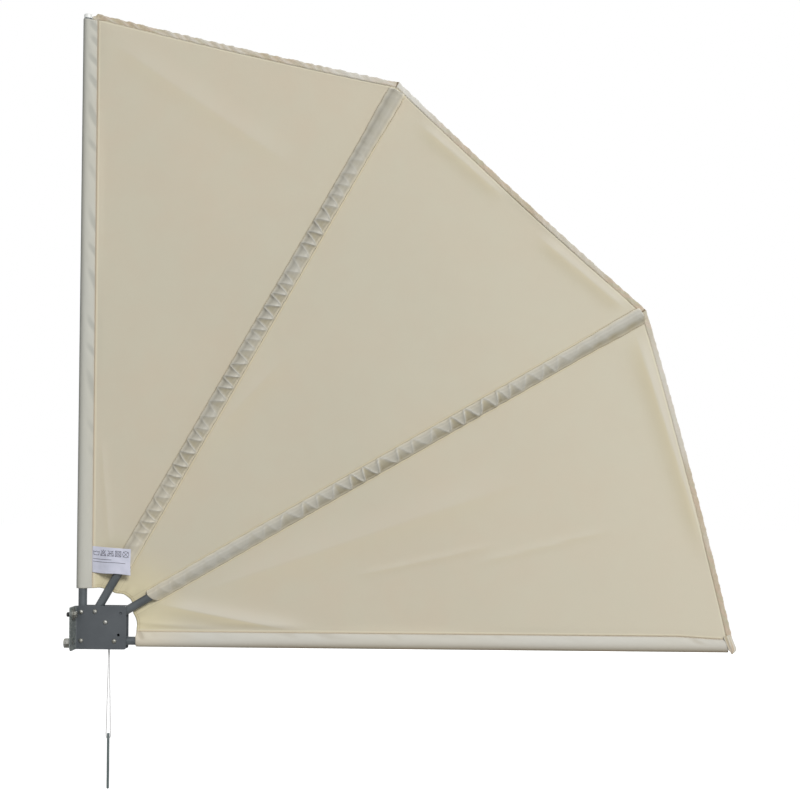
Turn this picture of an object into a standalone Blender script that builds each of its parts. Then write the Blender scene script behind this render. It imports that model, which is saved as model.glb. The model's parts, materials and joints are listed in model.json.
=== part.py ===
"""Side awning: a quarter fan of cloth on four tubes that folds up against a wall.

Metres, +Z up. X runs out from the wall, Y runs away from the viewer, and the
origin lies on the wall, halfway between the two bracket plates.
"""

import math

import bmesh
import bpy
import numpy as np
from mathutils import Matrix, Vector

# Fits
GAP = 0.0003
CIRCLE = 24

# Tubes and their end caps
TUBE_R = 0.009
TUBE_WALL = 0.0012
CAP_HEAD = 0.009
CAP_PLUG = 0.015

# Bracket plates, each one folded sheet
PLATE_T = 0.002
PLATE_SPACE = 0.020
PLATE_REACH = 0.1092
PLATE_HEIGHT = 0.093
PLATE_CORNER_R = 0.004
BEND_R = 0.0045
FLANGE_REACH = 0.0535
FLANGE_LOW_CORNER_R = 0.0115
FLANGE_TOP_CORNER_R = 0.0025
SLOT_Y = 0.033
SLOT_INNER_Z = 0.0187
SLOT_LENGTH = 0.0178
SLOT_WIDTH = 0.011

# Bolts through both plates
BOLT_R = 0.003
BOLT_HEAD_R = 0.005
BOLT_HEAD_HEIGHT = 0.0036
BOLT_END = 0.0015
NUT_FLATS = 0.010
NUT_HEIGHT = 0.005

# Wall arm, upright and fixed by two bolts
WALL_ARM_X = 0.013
WALL_ARM_FOOT_Z = -0.040
WALL_ARM_TOP_Z = 1.3155
WALL_BOLT_HIGH_Z = 0.0331
WALL_BOLT_LOW_Z = -0.0280

# Swinging arms: pivot, angle above the horizontal, reach from the pivot
ARM_TAIL = 0.012
ARM_1_X = 0.0427
ARM_1_Z = 0.0345
ARM_1_ANGLE = 60.5
ARM_1_REACH = 1.2905
ARM_2_X = 0.0652
ARM_2_Z = 0.0116
ARM_2_ANGLE = 30.4
ARM_2_REACH = 1.3270
LOWER_ARM_X = 0.0843
LOWER_ARM_Z = -0.0288
LOWER_ARM_REACH = 1.3143

# Locking pin, its two holes and its lanyard
PIN_R = 0.00275
PIN_LENGTH = 0.120
PIN_Y = 0.0100
PIN_TOP_Z = -0.2300
PIN_EYE_DROP = 0.0118
PIN_EYE_R = 0.0019
PIN_HOLE_R = 0.0031
PIN_HOLE_FOLDED_X = 0.0974
PIN_HOLE_FOLDED_Z = 0.0308
PIN_HOLE_OPEN_X = 0.0930
PIN_HOLE_OPEN_Z = -0.0155
CORD_R = 0.0010
CORD_HOLE_R = 0.0020
CORD_HOLE_X = 0.0680
CORD_HOLE_Z = -0.0405
CORD_BEND_R = 0.0042
CORD_STAND = 0.0025
KNOT_R = 0.0026
KNOT_Y = 0.0050

# Screw, washer and plug in the upper slot
SCREW_Z = 0.0298
SCREW_R = 0.004
SCREW_FLATS = 0.013
SCREW_HEAD = 0.0058
SCREW_WASHER_R = 0.0125
SCREW_WASHER_T = 0.002
PLUG_R = 0.005
PLUG_LENGTH = 0.011

# Bolt and nut in the lower slot
SPARE_Z = -0.0308
SPARE_R = 0.005
SPARE_FLATS = 0.019
SPARE_HEAD = 0.0055
SPARE_NUT = 0.0097

# Cloth
CLOTH_T = 0.0006
TAPE_WIDTH = 0.012
TAPE_T = 0.0016
SLEEVE_EASE = 0.00045
SLEEVE_SEAM = 0.0140
SLEEVE_T = 0.0007
GATHER_DEPTH = 0.0007
GATHER_PITCH = 0.026
LOOP_BACK = 0.0124
LOOP_SEAM = 0.0198
LOOP_SIDES = 20
SHEET_REST = 0.0160
SLEEVE_1_MOUTH = 0.112
SLEEVE_2_MOUTH = 0.106
SLEEVE_SHORT = 0.0035
WALL_SLEEVE_FOOT_Z = 0.0835
WALL_SLEEVE_TOP_Z = 1.3050
WALL_SLEEVE_LEAN = 0.0078
LOWER_SLEEVE_MOUTH_X = 0.1290
LOWER_SLEEVE_PAST = 0.0012
LOWER_SLEEVE_LEAN = 0.0038
CORNER_1_PAST_ARM = 0.0155
CORNER_2_PAST_ARM = 0.0165
LOWER_CORNER_X = 1.4165
LOWER_CORNER_Z = -0.0360
TOP_CORNER_Z = 1.3176
TOP_TAPE_START_X = 0.0226
TOP_TAPE_DROP = 0.0050
UPPER_EDGE_SAG = 0.0028
MIDDLE_EDGE_SAG = 0.0060
LOWER_EDGE_SAG = -0.0012

# The sheet's cut-out round the bracket, as (x, z) points between the arms
SHEET_START_1 = 0.0515
SHEET_START_2 = 0.0613
UPPER_CUT = ((0.0605, 0.0807),)
MIDDLE_CUT = ((0.0765, 0.0742), (0.1030, 0.0680), (0.1162, 0.0539))
LOWER_CUT = ((0.1197, 0.0308), (0.1287, 0.0124))

# Care label, sewn into the wall sleeve's seam
LABEL_WIDTH = 0.0810
LABEL_TOP_Z = 0.1740
LABEL_HEIGHT = 0.0560
LABEL_T = 0.0004
LABEL_STAND = 0.0012
LABEL_DROOP = 0.0055
LABEL_RISE = 0.5


def clear_objects():
    for item in list(bpy.data.objects):
        bpy.data.objects.remove(item, do_unlink=True)


def paint(name, colour, metallic, roughness):
    made = bpy.data.materials.new(name)
    made.use_nodes = True
    shader = made.node_tree.nodes["Principled BSDF"]
    shader.inputs["Base Color"].default_value = (*colour, 1.0)
    shader.inputs["Metallic"].default_value = metallic
    shader.inputs["Roughness"].default_value = roughness
    return made


LOOKS = {
    "steel": ((0.09, 0.10, 0.11), 0.6, 0.45),
    "zinc": ((0.55, 0.55, 0.53), 0.9, 0.35),
    "plastic": ((0.80, 0.80, 0.78), 0.0, 0.5),
    "black": ((0.02, 0.02, 0.02), 0.0, 0.6),
    "cloth": ((0.55, 0.50, 0.38), 0.0, 0.9),
    "tape": ((0.48, 0.40, 0.27), 0.0, 0.9),
    "label": ((0.75, 0.74, 0.80), 0.0, 0.6),
    "cord": ((0.70, 0.70, 0.70), 0.0, 0.8),
}


def place(name, look, mesh, smooth=False):
    """One named piece with its own material."""
    item = bpy.data.objects.new(name, mesh)
    bpy.context.scene.collection.objects.link(item)
    mesh.materials.append(paint(name, *LOOKS[look]))
    mesh.polygons.foreach_set("use_smooth", [smooth] * len(mesh.polygons))
    if smooth:
        mesh.set_sharp_from_angle(angle=math.radians(35))
    return item


def mesh_from(name, bm):
    bmesh.ops.recalc_face_normals(bm, faces=bm.faces)
    if bm.calc_volume(signed=True) < 0:
        bmesh.ops.reverse_faces(bm, faces=bm.faces)
    mesh = bpy.data.meshes.new(name)
    bm.to_mesh(mesh)
    bm.free()
    return mesh


def shell(name, look, outer, inner, closed, smooth=False):
    """A wall between two grids of points; a closed one goes all the way round."""
    outer = np.asarray(outer, float)
    inner = np.asarray(inner, float)
    rows, cols = outer.shape[:2]
    bm = bmesh.new()
    a = [[bm.verts.new(p) for p in row] for row in outer]
    b = [[bm.verts.new(p) for p in row] for row in inner]
    last = cols if closed else cols - 1
    for j in range(last):
        k = (j + 1) % cols
        for i in range(rows - 1):
            bm.faces.new((a[i][j], a[i][k], a[i + 1][k], a[i + 1][j]))
            bm.faces.new((b[i][j], b[i + 1][j], b[i + 1][k], b[i][k]))
        bm.faces.new((a[0][k], a[0][j], b[0][j], b[0][k]))
        bm.faces.new((a[-1][j], a[-1][k], b[-1][k], b[-1][j]))
    if not closed:
        for i in range(rows - 1):
            bm.faces.new((a[i][0], a[i + 1][0], b[i + 1][0], b[i][0]))
            bm.faces.new((a[i + 1][-1], a[i][-1], b[i][-1], b[i + 1][-1]))
    return place(name, look, mesh_from(name, bm), smooth)


def lathe(name, look, profile, centre, axis, sides=CIRCLE):
    """A solid turned from (distance along the axis, radius) points."""
    centre = Vector(centre)
    axis = Vector(axis).normalized()
    side = axis.orthogonal().normalized()
    up = axis.cross(side)
    bm = bmesh.new()
    rings = []
    for along, radius in profile:
        middle = centre + axis * along
        if radius == 0:
            rings.append([bm.verts.new(middle)])
            continue
        ring = []
        for k in range(sides):
            turn = 2 * math.pi * k / sides
            spoke = side * math.cos(turn) + up * math.sin(turn)
            ring.append(bm.verts.new(middle + spoke * radius))
        rings.append(ring)
    for first, second in zip(rings, rings[1:]):
        for k in range(sides):
            corners = []
            for ring, index in ((first, k), (first, k + 1), (second, k + 1), (second, k)):
                vertex = ring[index % len(ring)]
                if vertex not in corners:
                    corners.append(vertex)
            bm.faces.new(corners)
    return place(name, look, mesh_from(name, bm), True)


def dome(radius, height, start, steps=4):
    """Profile points of a rounded head, from its pole down to its rim."""
    points = []
    for k in range(steps + 1):
        turn = math.pi / 2 * k / steps
        points.append((start + height * (1 - math.cos(turn)), radius * math.sin(turn)))
    points[0] = (start, 0)
    return points


def circle_loop(centre, radius, axis, sides=CIRCLE):
    axis = Vector(axis).normalized()
    side = axis.orthogonal().normalized()
    up = axis.cross(side)
    turns = [2 * math.pi * k / sides for k in range(sides)]
    return [
        tuple(Vector(centre) + (side * math.cos(t) + up * math.sin(t)) * radius)
        for t in turns
    ]


def hexagon_loop(centre, flats, axis, sides=CIRCLE):
    """Points round a hexagon, as many as round a circle, with its corners along Y or X."""
    axis = Vector(axis).normalized()
    side = Vector((0, 1, 0)) if abs(axis.y) < 0.5 else Vector((1, 0, 0))
    up = axis.cross(side)
    loop = []
    for k in range(sides):
        turn = 2 * math.pi * k / sides
        off = (turn + math.pi / 6) % (math.pi / 3) - math.pi / 6
        reach = flats / 2 / math.cos(math.pi / 6 - abs(off))
        spoke = side * math.cos(turn) + up * math.sin(turn)
        loop.append(tuple(Vector(centre) + spoke * reach))
    return loop


def matched_circle(centre, radius, axis, sides=CIRCLE):
    axis = Vector(axis).normalized()
    side = Vector((0, 1, 0)) if abs(axis.y) < 0.5 else Vector((1, 0, 0))
    up = axis.cross(side)
    turns = [2 * math.pi * k / sides for k in range(sides)]
    return [
        tuple(Vector(centre) + (side * math.cos(t) + up * math.sin(t)) * radius)
        for t in turns
    ]


def moved(loop, axis, by):
    return [tuple(Vector(p) + Vector(axis) * by) for p in loop]


def nut(name, look, centre, axis, flats, bore, height):
    outer = hexagon_loop(centre, flats, axis)
    inner = matched_circle(centre, bore, axis)
    return shell(
        name,
        look,
        [outer, moved(outer, axis, height)],
        [inner, moved(inner, axis, height)],
        True,
    )


def washer(name, look, centre, axis, radius, bore, height):
    outer = matched_circle(centre, radius, axis)
    inner = matched_circle(centre, bore, axis)
    return shell(
        name,
        look,
        [outer, moved(outer, axis, height)],
        [inner, moved(inner, axis, height)],
        True,
    )


def hex_bolt(name, look, seat, axis, flats, head, radius, length):
    """A bolt: the head stands on the seat against the axis, the shank runs along it."""
    axis = Vector(axis)
    seat = Vector(seat)
    hexagon = hexagon_loop(seat, flats, axis)
    shank = matched_circle(seat, radius, axis)
    crown = matched_circle(seat - axis * head, flats * 0.46, axis)
    loops = [crown, moved(hexagon, axis, -head * 0.85), hexagon, shank]
    loops.append(moved(shank, axis, length))
    bm = bmesh.new()
    rings = [[bm.verts.new(p) for p in loop] for loop in loops]
    for first, second in zip(rings, rings[1:]):
        for k in range(CIRCLE):
            n = (k + 1) % CIRCLE
            bm.faces.new((first[k], first[n], second[n], second[k]))
    bm.faces.new(rings[0])
    bm.faces.new(rings[-1])
    return place(name, look, mesh_from(name, bm))


def cut_round(item, centre, axis, radius, reach, sides=16):
    """Drills a round hole through a piece."""
    label = f"{item.name}_drill_{len(item.modifiers)}"
    axis = Vector(axis).normalized()
    loop = circle_loop(Vector(centre) - axis * reach, radius, axis, sides)
    bm = bmesh.new()
    low = [bm.verts.new(p) for p in loop]
    high = [bm.verts.new(p) for p in moved(loop, axis, 2 * reach)]
    bm.faces.new(low)
    bm.faces.new(high)
    for k in range(sides):
        n = (k + 1) % sides
        bm.faces.new((low[k], low[n], high[n], high[k]))
    drill = bpy.data.objects.new(label, mesh_from(label, bm))
    bpy.context.scene.collection.objects.link(drill)
    drill.hide_render = True
    drill.display_type = "WIRE"
    cut = item.modifiers.new(label, "BOOLEAN")
    cut.operation = "DIFFERENCE"
    cut.solver = "EXACT"
    cut.object = drill


# Bracket plates
def rounded_outline(width, low, high, radii, steps=4):
    """A rectangle with a radius of its own at each corner, as (u, z) points."""
    corners = (
        (0, low, 180, radii[0]),
        (width, low, 270, radii[1]),
        (width, high, 0, radii[2]),
        (0, high, 90, radii[3]),
    )
    points = []
    for u, z, start, radius in corners:
        middle_u = u + radius if u == 0 else u - radius
        middle_z = z + radius if z == low else z - radius
        for k in range(steps + 1):
            turn = math.radians(start + 90 * k / steps)
            points.append(
                (middle_u + radius * math.cos(turn), middle_z + radius * math.sin(turn))
            )
    return points


def round_hole(u, z, radius, sides=16):
    turns = [2 * math.pi * k / sides for k in range(sides)]
    return [(u + radius * math.cos(t), z + radius * math.sin(t)) for t in turns]


def long_hole(u, low, high, width, steps=8):
    """A slot that runs up the sheet, with round ends."""
    radius = width / 2
    points = []
    for centre, start in ((high - radius, 0), (low + radius, 180)):
        for k in range(steps + 1):
            turn = math.radians(start + 180 * k / steps)
            points.append((u + radius * math.cos(turn), centre + radius * math.sin(turn)))
    return points


def bolt_places():
    return {
        "wall_arm_bolt_high": (WALL_ARM_X, WALL_BOLT_HIGH_Z),
        "wall_arm_bolt_low": (WALL_ARM_X, WALL_BOLT_LOW_Z),
        "arm_1_bolt": (ARM_1_X, ARM_1_Z),
        "arm_2_bolt": (ARM_2_X, ARM_2_Z),
        "lower_arm_bolt": (LOWER_ARM_X, LOWER_ARM_Z),
    }


def folded_plate(name, side, more_holes=()):
    """A bracket plate cut flat, then folded at the wall; side is -1 for the front one."""
    middle_r = BEND_R - PLATE_T / 2
    fold_start = PLATE_REACH - BEND_R
    fold_end = fold_start + math.pi / 2 * middle_r
    flat = PLATE_SPACE / 2 + BEND_R
    width = fold_end + FLANGE_REACH - flat
    half = PLATE_HEIGHT / 2
    corners = (PLATE_CORNER_R, FLANGE_LOW_CORNER_R, FLANGE_TOP_CORNER_R, PLATE_CORNER_R)
    loops = [rounded_outline(width, -half, half, corners)]
    for x, z in bolt_places().values():
        loops.append(round_hole(PLATE_REACH - x, z, BOLT_R + GAP))
    for x, z in (
        (PIN_HOLE_FOLDED_X, PIN_HOLE_FOLDED_Z),
        (PIN_HOLE_OPEN_X, PIN_HOLE_OPEN_Z),
    ):
        loops.append(round_hole(PLATE_REACH - x, z, PIN_HOLE_R))
    for x, z, radius in more_holes:
        loops.append(round_hole(PLATE_REACH - x, z, radius))
    slot_u = fold_end + SLOT_Y - flat
    far = SLOT_INNER_Z + SLOT_LENGTH
    loops.append(long_hole(slot_u, SLOT_INNER_Z, far, SLOT_WIDTH))
    loops.append(long_hole(slot_u, -far, -SLOT_INNER_Z, SLOT_WIDTH))
    bm = bmesh.new()
    for loop in loops:
        ring = [bm.verts.new((u, z, 0)) for u, z in loop]
        for first, second in zip(ring, ring[1:] + ring[:1]):
            bm.edges.new((first, second))
    bmesh.ops.triangle_fill(bm, use_beauty=True, edges=bm.edges[:], normal=(0, 0, 1))
    grown = bmesh.ops.extrude_face_region(bm, geom=bm.faces[:])
    top = [v for v in grown["geom"] if isinstance(v, bmesh.types.BMVert)]
    bmesh.ops.translate(bm, verts=top, vec=(0, 0, PLATE_T))
    steps = 6
    for k in range(steps + 1):
        at = fold_start + (fold_end - fold_start) * k / steps
        geom = bm.verts[:] + bm.edges[:] + bm.faces[:]
        bmesh.ops.bisect_plane(bm, geom=geom, plane_co=(at, 0, 0), plane_no=(1, 0, 0))
    for vertex in bm.verts:
        u, z, w = vertex.co
        turn = min(max((u - fold_start) / middle_r, 0), math.pi / 2)
        x = BEND_R - (BEND_R - w) * math.sin(turn)
        y = flat - (BEND_R - w) * math.cos(turn)
        x += max(fold_start - u, 0)
        y += max(u - fold_end, 0)
        vertex.co = (x, side * y, z)
    return place(name, "steel", mesh_from(name, bm))


def bracket():
    folded_plate("front_plate", -1)
    folded_plate("back_plate", 1, ((CORD_HOLE_X, CORD_HOLE_Z, CORD_HOLE_R),))
    face = PLATE_SPACE / 2 + PLATE_T + GAP
    for name, (x, z) in bolt_places().items():
        head = dome(BOLT_HEAD_R, BOLT_HEAD_HEIGHT, -face - BOLT_HEAD_HEIGHT)
        end = face + NUT_HEIGHT + BOLT_END
        profile = head + [(-face, BOLT_R), (end - 0.0006, BOLT_R), (end, BOLT_R - 0.0006)]
        profile.append((end, 0))
        lathe(name, "zinc", profile, (x, 0, z), (0, 1, 0), 16)
        nut_name = name.replace("bolt", "nut")
        bore = BOLT_R + GAP
        nut(nut_name, "zinc", (x, face, z), (0, 1, 0), NUT_FLATS, bore, NUT_HEIGHT)


def wall_fixings():
    out = (1, 0, 0)
    back = (-1, 0, 0)
    bore = SCREW_R + GAP
    washer_x = PLATE_T + GAP
    washer_at = (washer_x, -SLOT_Y, SCREW_Z)
    washer("wall_screw_washer", "zinc", washer_at, out, SCREW_WASHER_R, bore, SCREW_WASHER_T)
    seat = washer_x + SCREW_WASHER_T + GAP
    shank = seat + GAP + PLUG_LENGTH - 0.002
    seat_at = (seat, -SLOT_Y, SCREW_Z)
    hex_bolt("wall_screw", "zinc", seat_at, back, SCREW_FLATS, SCREW_HEAD, SCREW_R, shank)
    hollow = PLUG_LENGTH - 0.0015
    plug = [(0, bore), (hollow, bore), (hollow, 0)]
    plug = plug[::-1] + [(0, PLUG_R), (PLUG_LENGTH - 0.0018, PLUG_R)]
    plug += [(PLUG_LENGTH - 0.0005, PLUG_R * 0.8), (PLUG_LENGTH, 0)]
    lathe("wall_plug", "black", plug, (-GAP, -SLOT_Y, SCREW_Z), back, CIRCLE)
    nut_at = (-GAP, -SLOT_Y, SPARE_Z)
    nut("spare_nut", "zinc", nut_at, back, SPARE_FLATS, SPARE_R + GAP, SPARE_NUT)
    head_x = -GAP - SPARE_NUT - GAP
    head_at = (head_x, -SLOT_Y, SPARE_Z)
    reach = PLATE_T - head_x
    hex_bolt("spare_bolt", "zinc", head_at, out, SPARE_FLATS, SPARE_HEAD, SPARE_R, reach)


# Arms
class Arm:
    """A tube's place: its pivot, its direction and the side that folds towards the wall."""

    def __init__(self, name, x, z, angle, reach):
        self.name = name
        self.x = x
        self.z = z
        self.along = Vector(
            (math.cos(math.radians(angle)), 0, math.sin(math.radians(angle)))
        )
        self.across = Vector((-self.along.z, 0, self.along.x))
        self.reach = reach

    def at(self, along, across=0.0, y=0.0):
        point = Vector((self.x, y, self.z)) + self.along * along + self.across * across
        return tuple(point)


WALL_ARM = Arm("wall_arm", WALL_ARM_X, 0, 90, WALL_ARM_TOP_Z)
ARM_1 = Arm("arm_1", ARM_1_X, ARM_1_Z, ARM_1_ANGLE, ARM_1_REACH)
ARM_2 = Arm("arm_2", ARM_2_X, ARM_2_Z, ARM_2_ANGLE, ARM_2_REACH)
LOWER_ARM = Arm("lower_arm", LOWER_ARM_X, LOWER_ARM_Z, 0, LOWER_ARM_REACH)


def arm_tube(arm, tail, holes):
    """A hollow tube with its cross holes and the plastic cap in its far end."""
    end = arm.reach - CAP_HEAD
    outer = []
    inner = []
    for along in (tail, end):
        outer.append(circle_loop(arm.at(along), TUBE_R, arm.along))
        inner.append(circle_loop(arm.at(along), TUBE_R - TUBE_WALL, arm.along))
    tube = shell(f"{arm.name}_tube", "steel", outer, inner, True, True)
    for along in holes:
        cut_round(tube, arm.at(along), (0, 1, 0), BOLT_R + GAP, TUBE_R + 0.004)
    bore = TUBE_R - TUBE_WALL - GAP
    profile = [(end - CAP_PLUG, 0), (end - CAP_PLUG, bore - 0.0006)]
    profile += [(end - CAP_PLUG + 0.002, bore), (end + GAP, bore), (end + GAP, TUBE_R)]
    profile += [(arm.reach - 0.0008, TUBE_R), (arm.reach, TUBE_R - 0.0008), (arm.reach, 0)]
    lathe(f"{arm.name}_cap", "plastic", profile, arm.at(0), arm.along)


def arms():
    arm_tube(WALL_ARM, WALL_ARM_FOOT_Z, (WALL_BOLT_HIGH_Z, WALL_BOLT_LOW_Z))
    arm_tube(ARM_1, -ARM_TAIL, (0,))
    arm_tube(ARM_2, -ARM_TAIL, (0,))
    arm_tube(LOWER_ARM, -ARM_TAIL, (0,))


# Cloth
def seam_y():
    """Depth of the sheet's middle where it passes behind an arm."""
    return TUBE_R + GAP + CLOTH_T / 2


def sewn_sleeve(arm, mouth, end, gathered):
    """A strip laid over an arm and sewn to the sheet along both of its edges."""
    inner_r = TUBE_R + SLEEVE_EASE
    wrap = math.radians(67)
    rows = int((end - mouth) / GATHER_PITCH)
    outer = []
    inner = []
    for i in range(rows + 1):
        along = mouth + (end - mouth) * i / rows
        share = (along - mouth) / (end - mouth)
        deep = GATHER_DEPTH if gathered[0] < share < gathered[1] else 0.0
        out_row = []
        in_row = []
        for k in range(10):
            if k in (0, 9):
                side = -1 if k == 0 else 1
                seam = SLEEVE_SEAM + deep * (i % 2)
                in_row.append(arm.at(along, side * SLEEVE_SEAM, TUBE_R))
                out_row.append(arm.at(along, side * seam, TUBE_R - SLEEVE_T))
                continue
            turn = -wrap + 2 * wrap * (k - 1) / 7
            fold = deep * ((i + k) % 2)
            reach = inner_r + SLEEVE_T + fold
            across, depth = math.sin(turn), -math.cos(turn)
            in_row.append(arm.at(along, inner_r * across, inner_r * depth))
            out_row.append(arm.at(along, reach * across, reach * depth))
        outer.append(out_row)
        inner.append(in_row)
    shell(f"{arm.name}_sleeve", "cloth", outer, inner, False, True)


def loop_sleeve(arm, side, start, end, lean):
    """The sheet's own edge, wrapped round a tube and sewn back on itself at the seam."""
    rows = 9
    full = PLATE_SPACE / 2 - GAP / 3
    turns = [2 * math.pi * k / LOOP_SIDES for k in range(LOOP_SIDES)]
    outer = []
    inner = []
    for i in range(rows + 1):
        share = i / rows
        for grid, wall in ((outer, 0.0), (inner, CLOTH_T)):
            row = []
            for turn in turns:
                reach = LOOP_SEAM if math.cos(turn) > 0 else LOOP_BACK
                across = (reach - wall) * math.cos(turn)
                seamward = (1 + math.cos(turn)) / 2
                along = start + (end + lean * seamward - start) * share
                row.append(arm.at(along, side * across, (full - wall) * math.sin(turn)))
            grid.append(row)
    shell(f"{arm.name}_sleeve", "cloth", outer, inner, True, True)


def flat(point):
    return np.array((point[0], point[2]))


def outer_edge(first, second, sag, way_first, way_second, shares):
    """The sheet's outer line and the inner line of its tape, from arm to arm."""
    first = np.asarray(first, float)
    second = np.asarray(second, float)
    chord = second - first
    out = np.array((-chord[1], chord[0])) / np.linalg.norm(chord)
    line = []
    inside = []
    for share in shares:
        point = first + chord * share - out * sag * 4 * share * (1 - share)
        way = way_first * (1 - share) + way_second * share
        way = way / np.linalg.norm(way)
        line.append(point)
        inside.append(point - way * TAPE_WIDTH / (way @ out))
    return np.array(line), np.array(inside)


def side_depth(near, far, sewn_near, sewn_far):
    """How far behind the arms' plane the sheet lies, by its distance from both sides."""
    back = seam_y()
    if sewn_near and sewn_far:
        return back
    if sewn_far:
        near, far = far, near
    rest = max(far + near - SHEET_REST, 1e-6)
    return back * min(max(far / rest, 0.0), 1.0)


def off_line(point, arm, shift=0.0):
    """Distance of a point from an arm's line, moved sideways by shift."""
    away = (point - flat(arm.at(0, shift))) @ flat(arm.across)
    return abs(away)


SHEET_ROWS = (0, 0.015, 0.05, 0.12, 0.22, 0.34, 0.46, 0.58, 0.7, 0.82, 0.92, 0.975, 1)


def panel(name, high, low, cut, inside):
    """One gore of the sheet between two arms, from the cut-out to its tape's inner line."""
    high_arm, high_shift, high_sewn = high
    low_arm, low_shift, low_sewn = low
    cut = np.asarray(cut, float)
    start = np.array([cut[0], cut[-1]])
    end = np.array([inside[0], inside[-1]])
    lean = (end - start) / np.linalg.norm(end - start, axis=1)[:, None]
    end = end - lean * GAP * 1.5
    front = []
    back = []
    for row in SHEET_ROWS:
        left = start[0] + (end[0] - start[0]) * row
        right = start[1] + (end[1] - start[1]) * row
        first = SHEET_REST / off_line(right, high_arm, high_shift) if high_sewn else 0.08
        last = SHEET_REST / off_line(left, low_arm, low_shift) if low_sewn else 0.08
        columns = [0, *np.linspace(first, 1 - last, 8), 1]
        inner_bulge = bulge(cut, columns) * (1 - row) ** 14
        outer_bulge = bulge(inside, columns) * row**14
        front_row = []
        back_row = []
        for k, column in enumerate(columns):
            point = left + (right - left) * column + inner_bulge[k] + outer_bulge[k]
            near = off_line(point, high_arm, high_shift)
            far = off_line(point, low_arm, low_shift)
            depth = side_depth(near, far, high_sewn, low_sewn)
            front_row.append((point[0], depth - CLOTH_T / 2, point[1]))
            back_row.append((point[0], depth + CLOTH_T / 2, point[1]))
        front.append(front_row)
        back.append(back_row)
    shell(f"{name}_panel", "cloth", front, back, False, True)


def edge_tape(name, high, low, line, inside):
    """The folded strip sewn along a gore's outer edge."""
    high_arm, high_shift, high_sewn = high
    low_arm, low_shift, low_sewn = low
    rows = ([], [])
    for rim_point, inner_point in zip(line, inside):
        near = off_line(inner_point, high_arm, high_shift)
        far = off_line(inner_point, low_arm, low_shift)
        if inner_point[1] < low_arm.z + low_shift and not low_sewn:
            far = 0.0
        if inner_point[0] < high_arm.x + abs(high_shift) and not high_sewn:
            near = 0.0
        depth = side_depth(near, far, high_sewn, low_sewn)
        for side, grid in ((-1, rows[0]), (1, rows[1])):
            y = depth + side * TAPE_T / 2
            grid.append([(rim_point[0], y, rim_point[1]), (inner_point[0], y, inner_point[1])])
    shell(f"{name}_edge_tape", "tape", rows[0], rows[1], False, True)


def panel_and_tape(name, high, low, cut, corners, sag, before=(), past_seam=0.0):
    """A gore and its tape; past_seam is the share of the edge that lies past the gore."""
    ways = flat(high[0].along), flat(low[0].along)
    shares = np.linspace(0, 1, 21) * (1 - past_seam)
    panel(name, high, low, cut, outer_edge(*corners, sag, *ways, shares)[1])
    gap = GAP / np.linalg.norm(np.subtract(*corners))
    shares = gap + np.linspace(0, 1, 29) * (1 - 2 * gap)
    line, inside = outer_edge(*corners, sag, *ways, shares)
    if len(before):
        line = np.concatenate([[before], line])
        inside = np.concatenate([[(before[0], before[1] - TAPE_WIDTH)], inside])
    edge_tape(name, high, low, line, inside)


def bulge(line, columns):
    """How far a line stands off its own chord, at shares of its length."""
    points = np.asarray(line, float)
    steps = np.linalg.norm(np.diff(points, axis=0), axis=1)
    run = np.concatenate([[0], np.cumsum(steps)]) / steps.sum()
    at = np.stack([np.interp(columns, run, points[:, k]) for k in range(2)], axis=1)
    chord = points[0] + np.outer(columns, points[-1] - points[0])
    return at - chord


def cloth():
    loop_sleeve(WALL_ARM, -1, WALL_SLEEVE_FOOT_Z, WALL_SLEEVE_TOP_Z, -WALL_SLEEVE_LEAN)
    low_start = LOWER_SLEEVE_MOUTH_X - LOWER_ARM_X
    low_end = LOWER_ARM_REACH + LOWER_SLEEVE_PAST
    loop_sleeve(LOWER_ARM, 1, low_start, low_end, -LOWER_SLEEVE_LEAN)
    sewn_sleeve(ARM_1, SLEEVE_1_MOUTH, ARM_1_REACH - SLEEVE_SHORT, (0.06, 0.82))
    sewn_sleeve(ARM_2, SLEEVE_2_MOUTH, ARM_2_REACH - SLEEVE_SHORT, (0.22, 0.85))
    seam = LOOP_SEAM + GAP
    wall_seam_x = WALL_ARM_X + seam
    low_seam_z = LOWER_ARM_Z + seam
    corner_0 = (wall_seam_x, TOP_CORNER_Z)
    corner_1 = flat(ARM_1.at(ARM_1_REACH + CORNER_1_PAST_ARM))
    corner_2 = flat(ARM_2.at(ARM_2_REACH + CORNER_2_PAST_ARM))
    corner_3 = (LOWER_CORNER_X, LOWER_CORNER_Z)
    tilt = (corner_2[1] - low_seam_z) / (corner_2[1] - LOWER_CORNER_Z)
    side = GAP / 2
    start_1 = ARM_1.at(SHEET_START_1, side)
    start_1_low = ARM_1.at(SHEET_START_1, -side)
    start_2 = ARM_2.at(SHEET_START_2, side)
    start_2_low = ARM_2.at(SHEET_START_2, -side)
    upper_cut = [(wall_seam_x, WALL_SLEEVE_FOOT_Z), *UPPER_CUT, flat(start_1)]
    middle_cut = [flat(start_1_low), *MIDDLE_CUT, flat(start_2)]
    lower_cut = [flat(start_2_low), *LOWER_CUT, (LOWER_SLEEVE_MOUTH_X, low_seam_z)]
    wall_side = (WALL_ARM, -seam, False)
    low_side = (LOWER_ARM, seam, False)
    arm_1 = (ARM_1, 0.0, True)
    arm_2 = (ARM_2, 0.0, True)
    before = (TOP_TAPE_START_X, TOP_CORNER_Z - TOP_TAPE_DROP)
    upper = (corner_0, corner_1)
    middle = (corner_1, corner_2)
    lower = (corner_2, corner_3)
    panel_and_tape("upper", wall_side, arm_1, upper_cut, upper, UPPER_EDGE_SAG, before)
    panel_and_tape("middle", arm_1, arm_2, middle_cut, middle, MIDDLE_EDGE_SAG)
    past = 1 - tilt
    panel_and_tape("lower", arm_2, low_side, lower_cut, lower, LOWER_EDGE_SAG, (), past)


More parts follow.
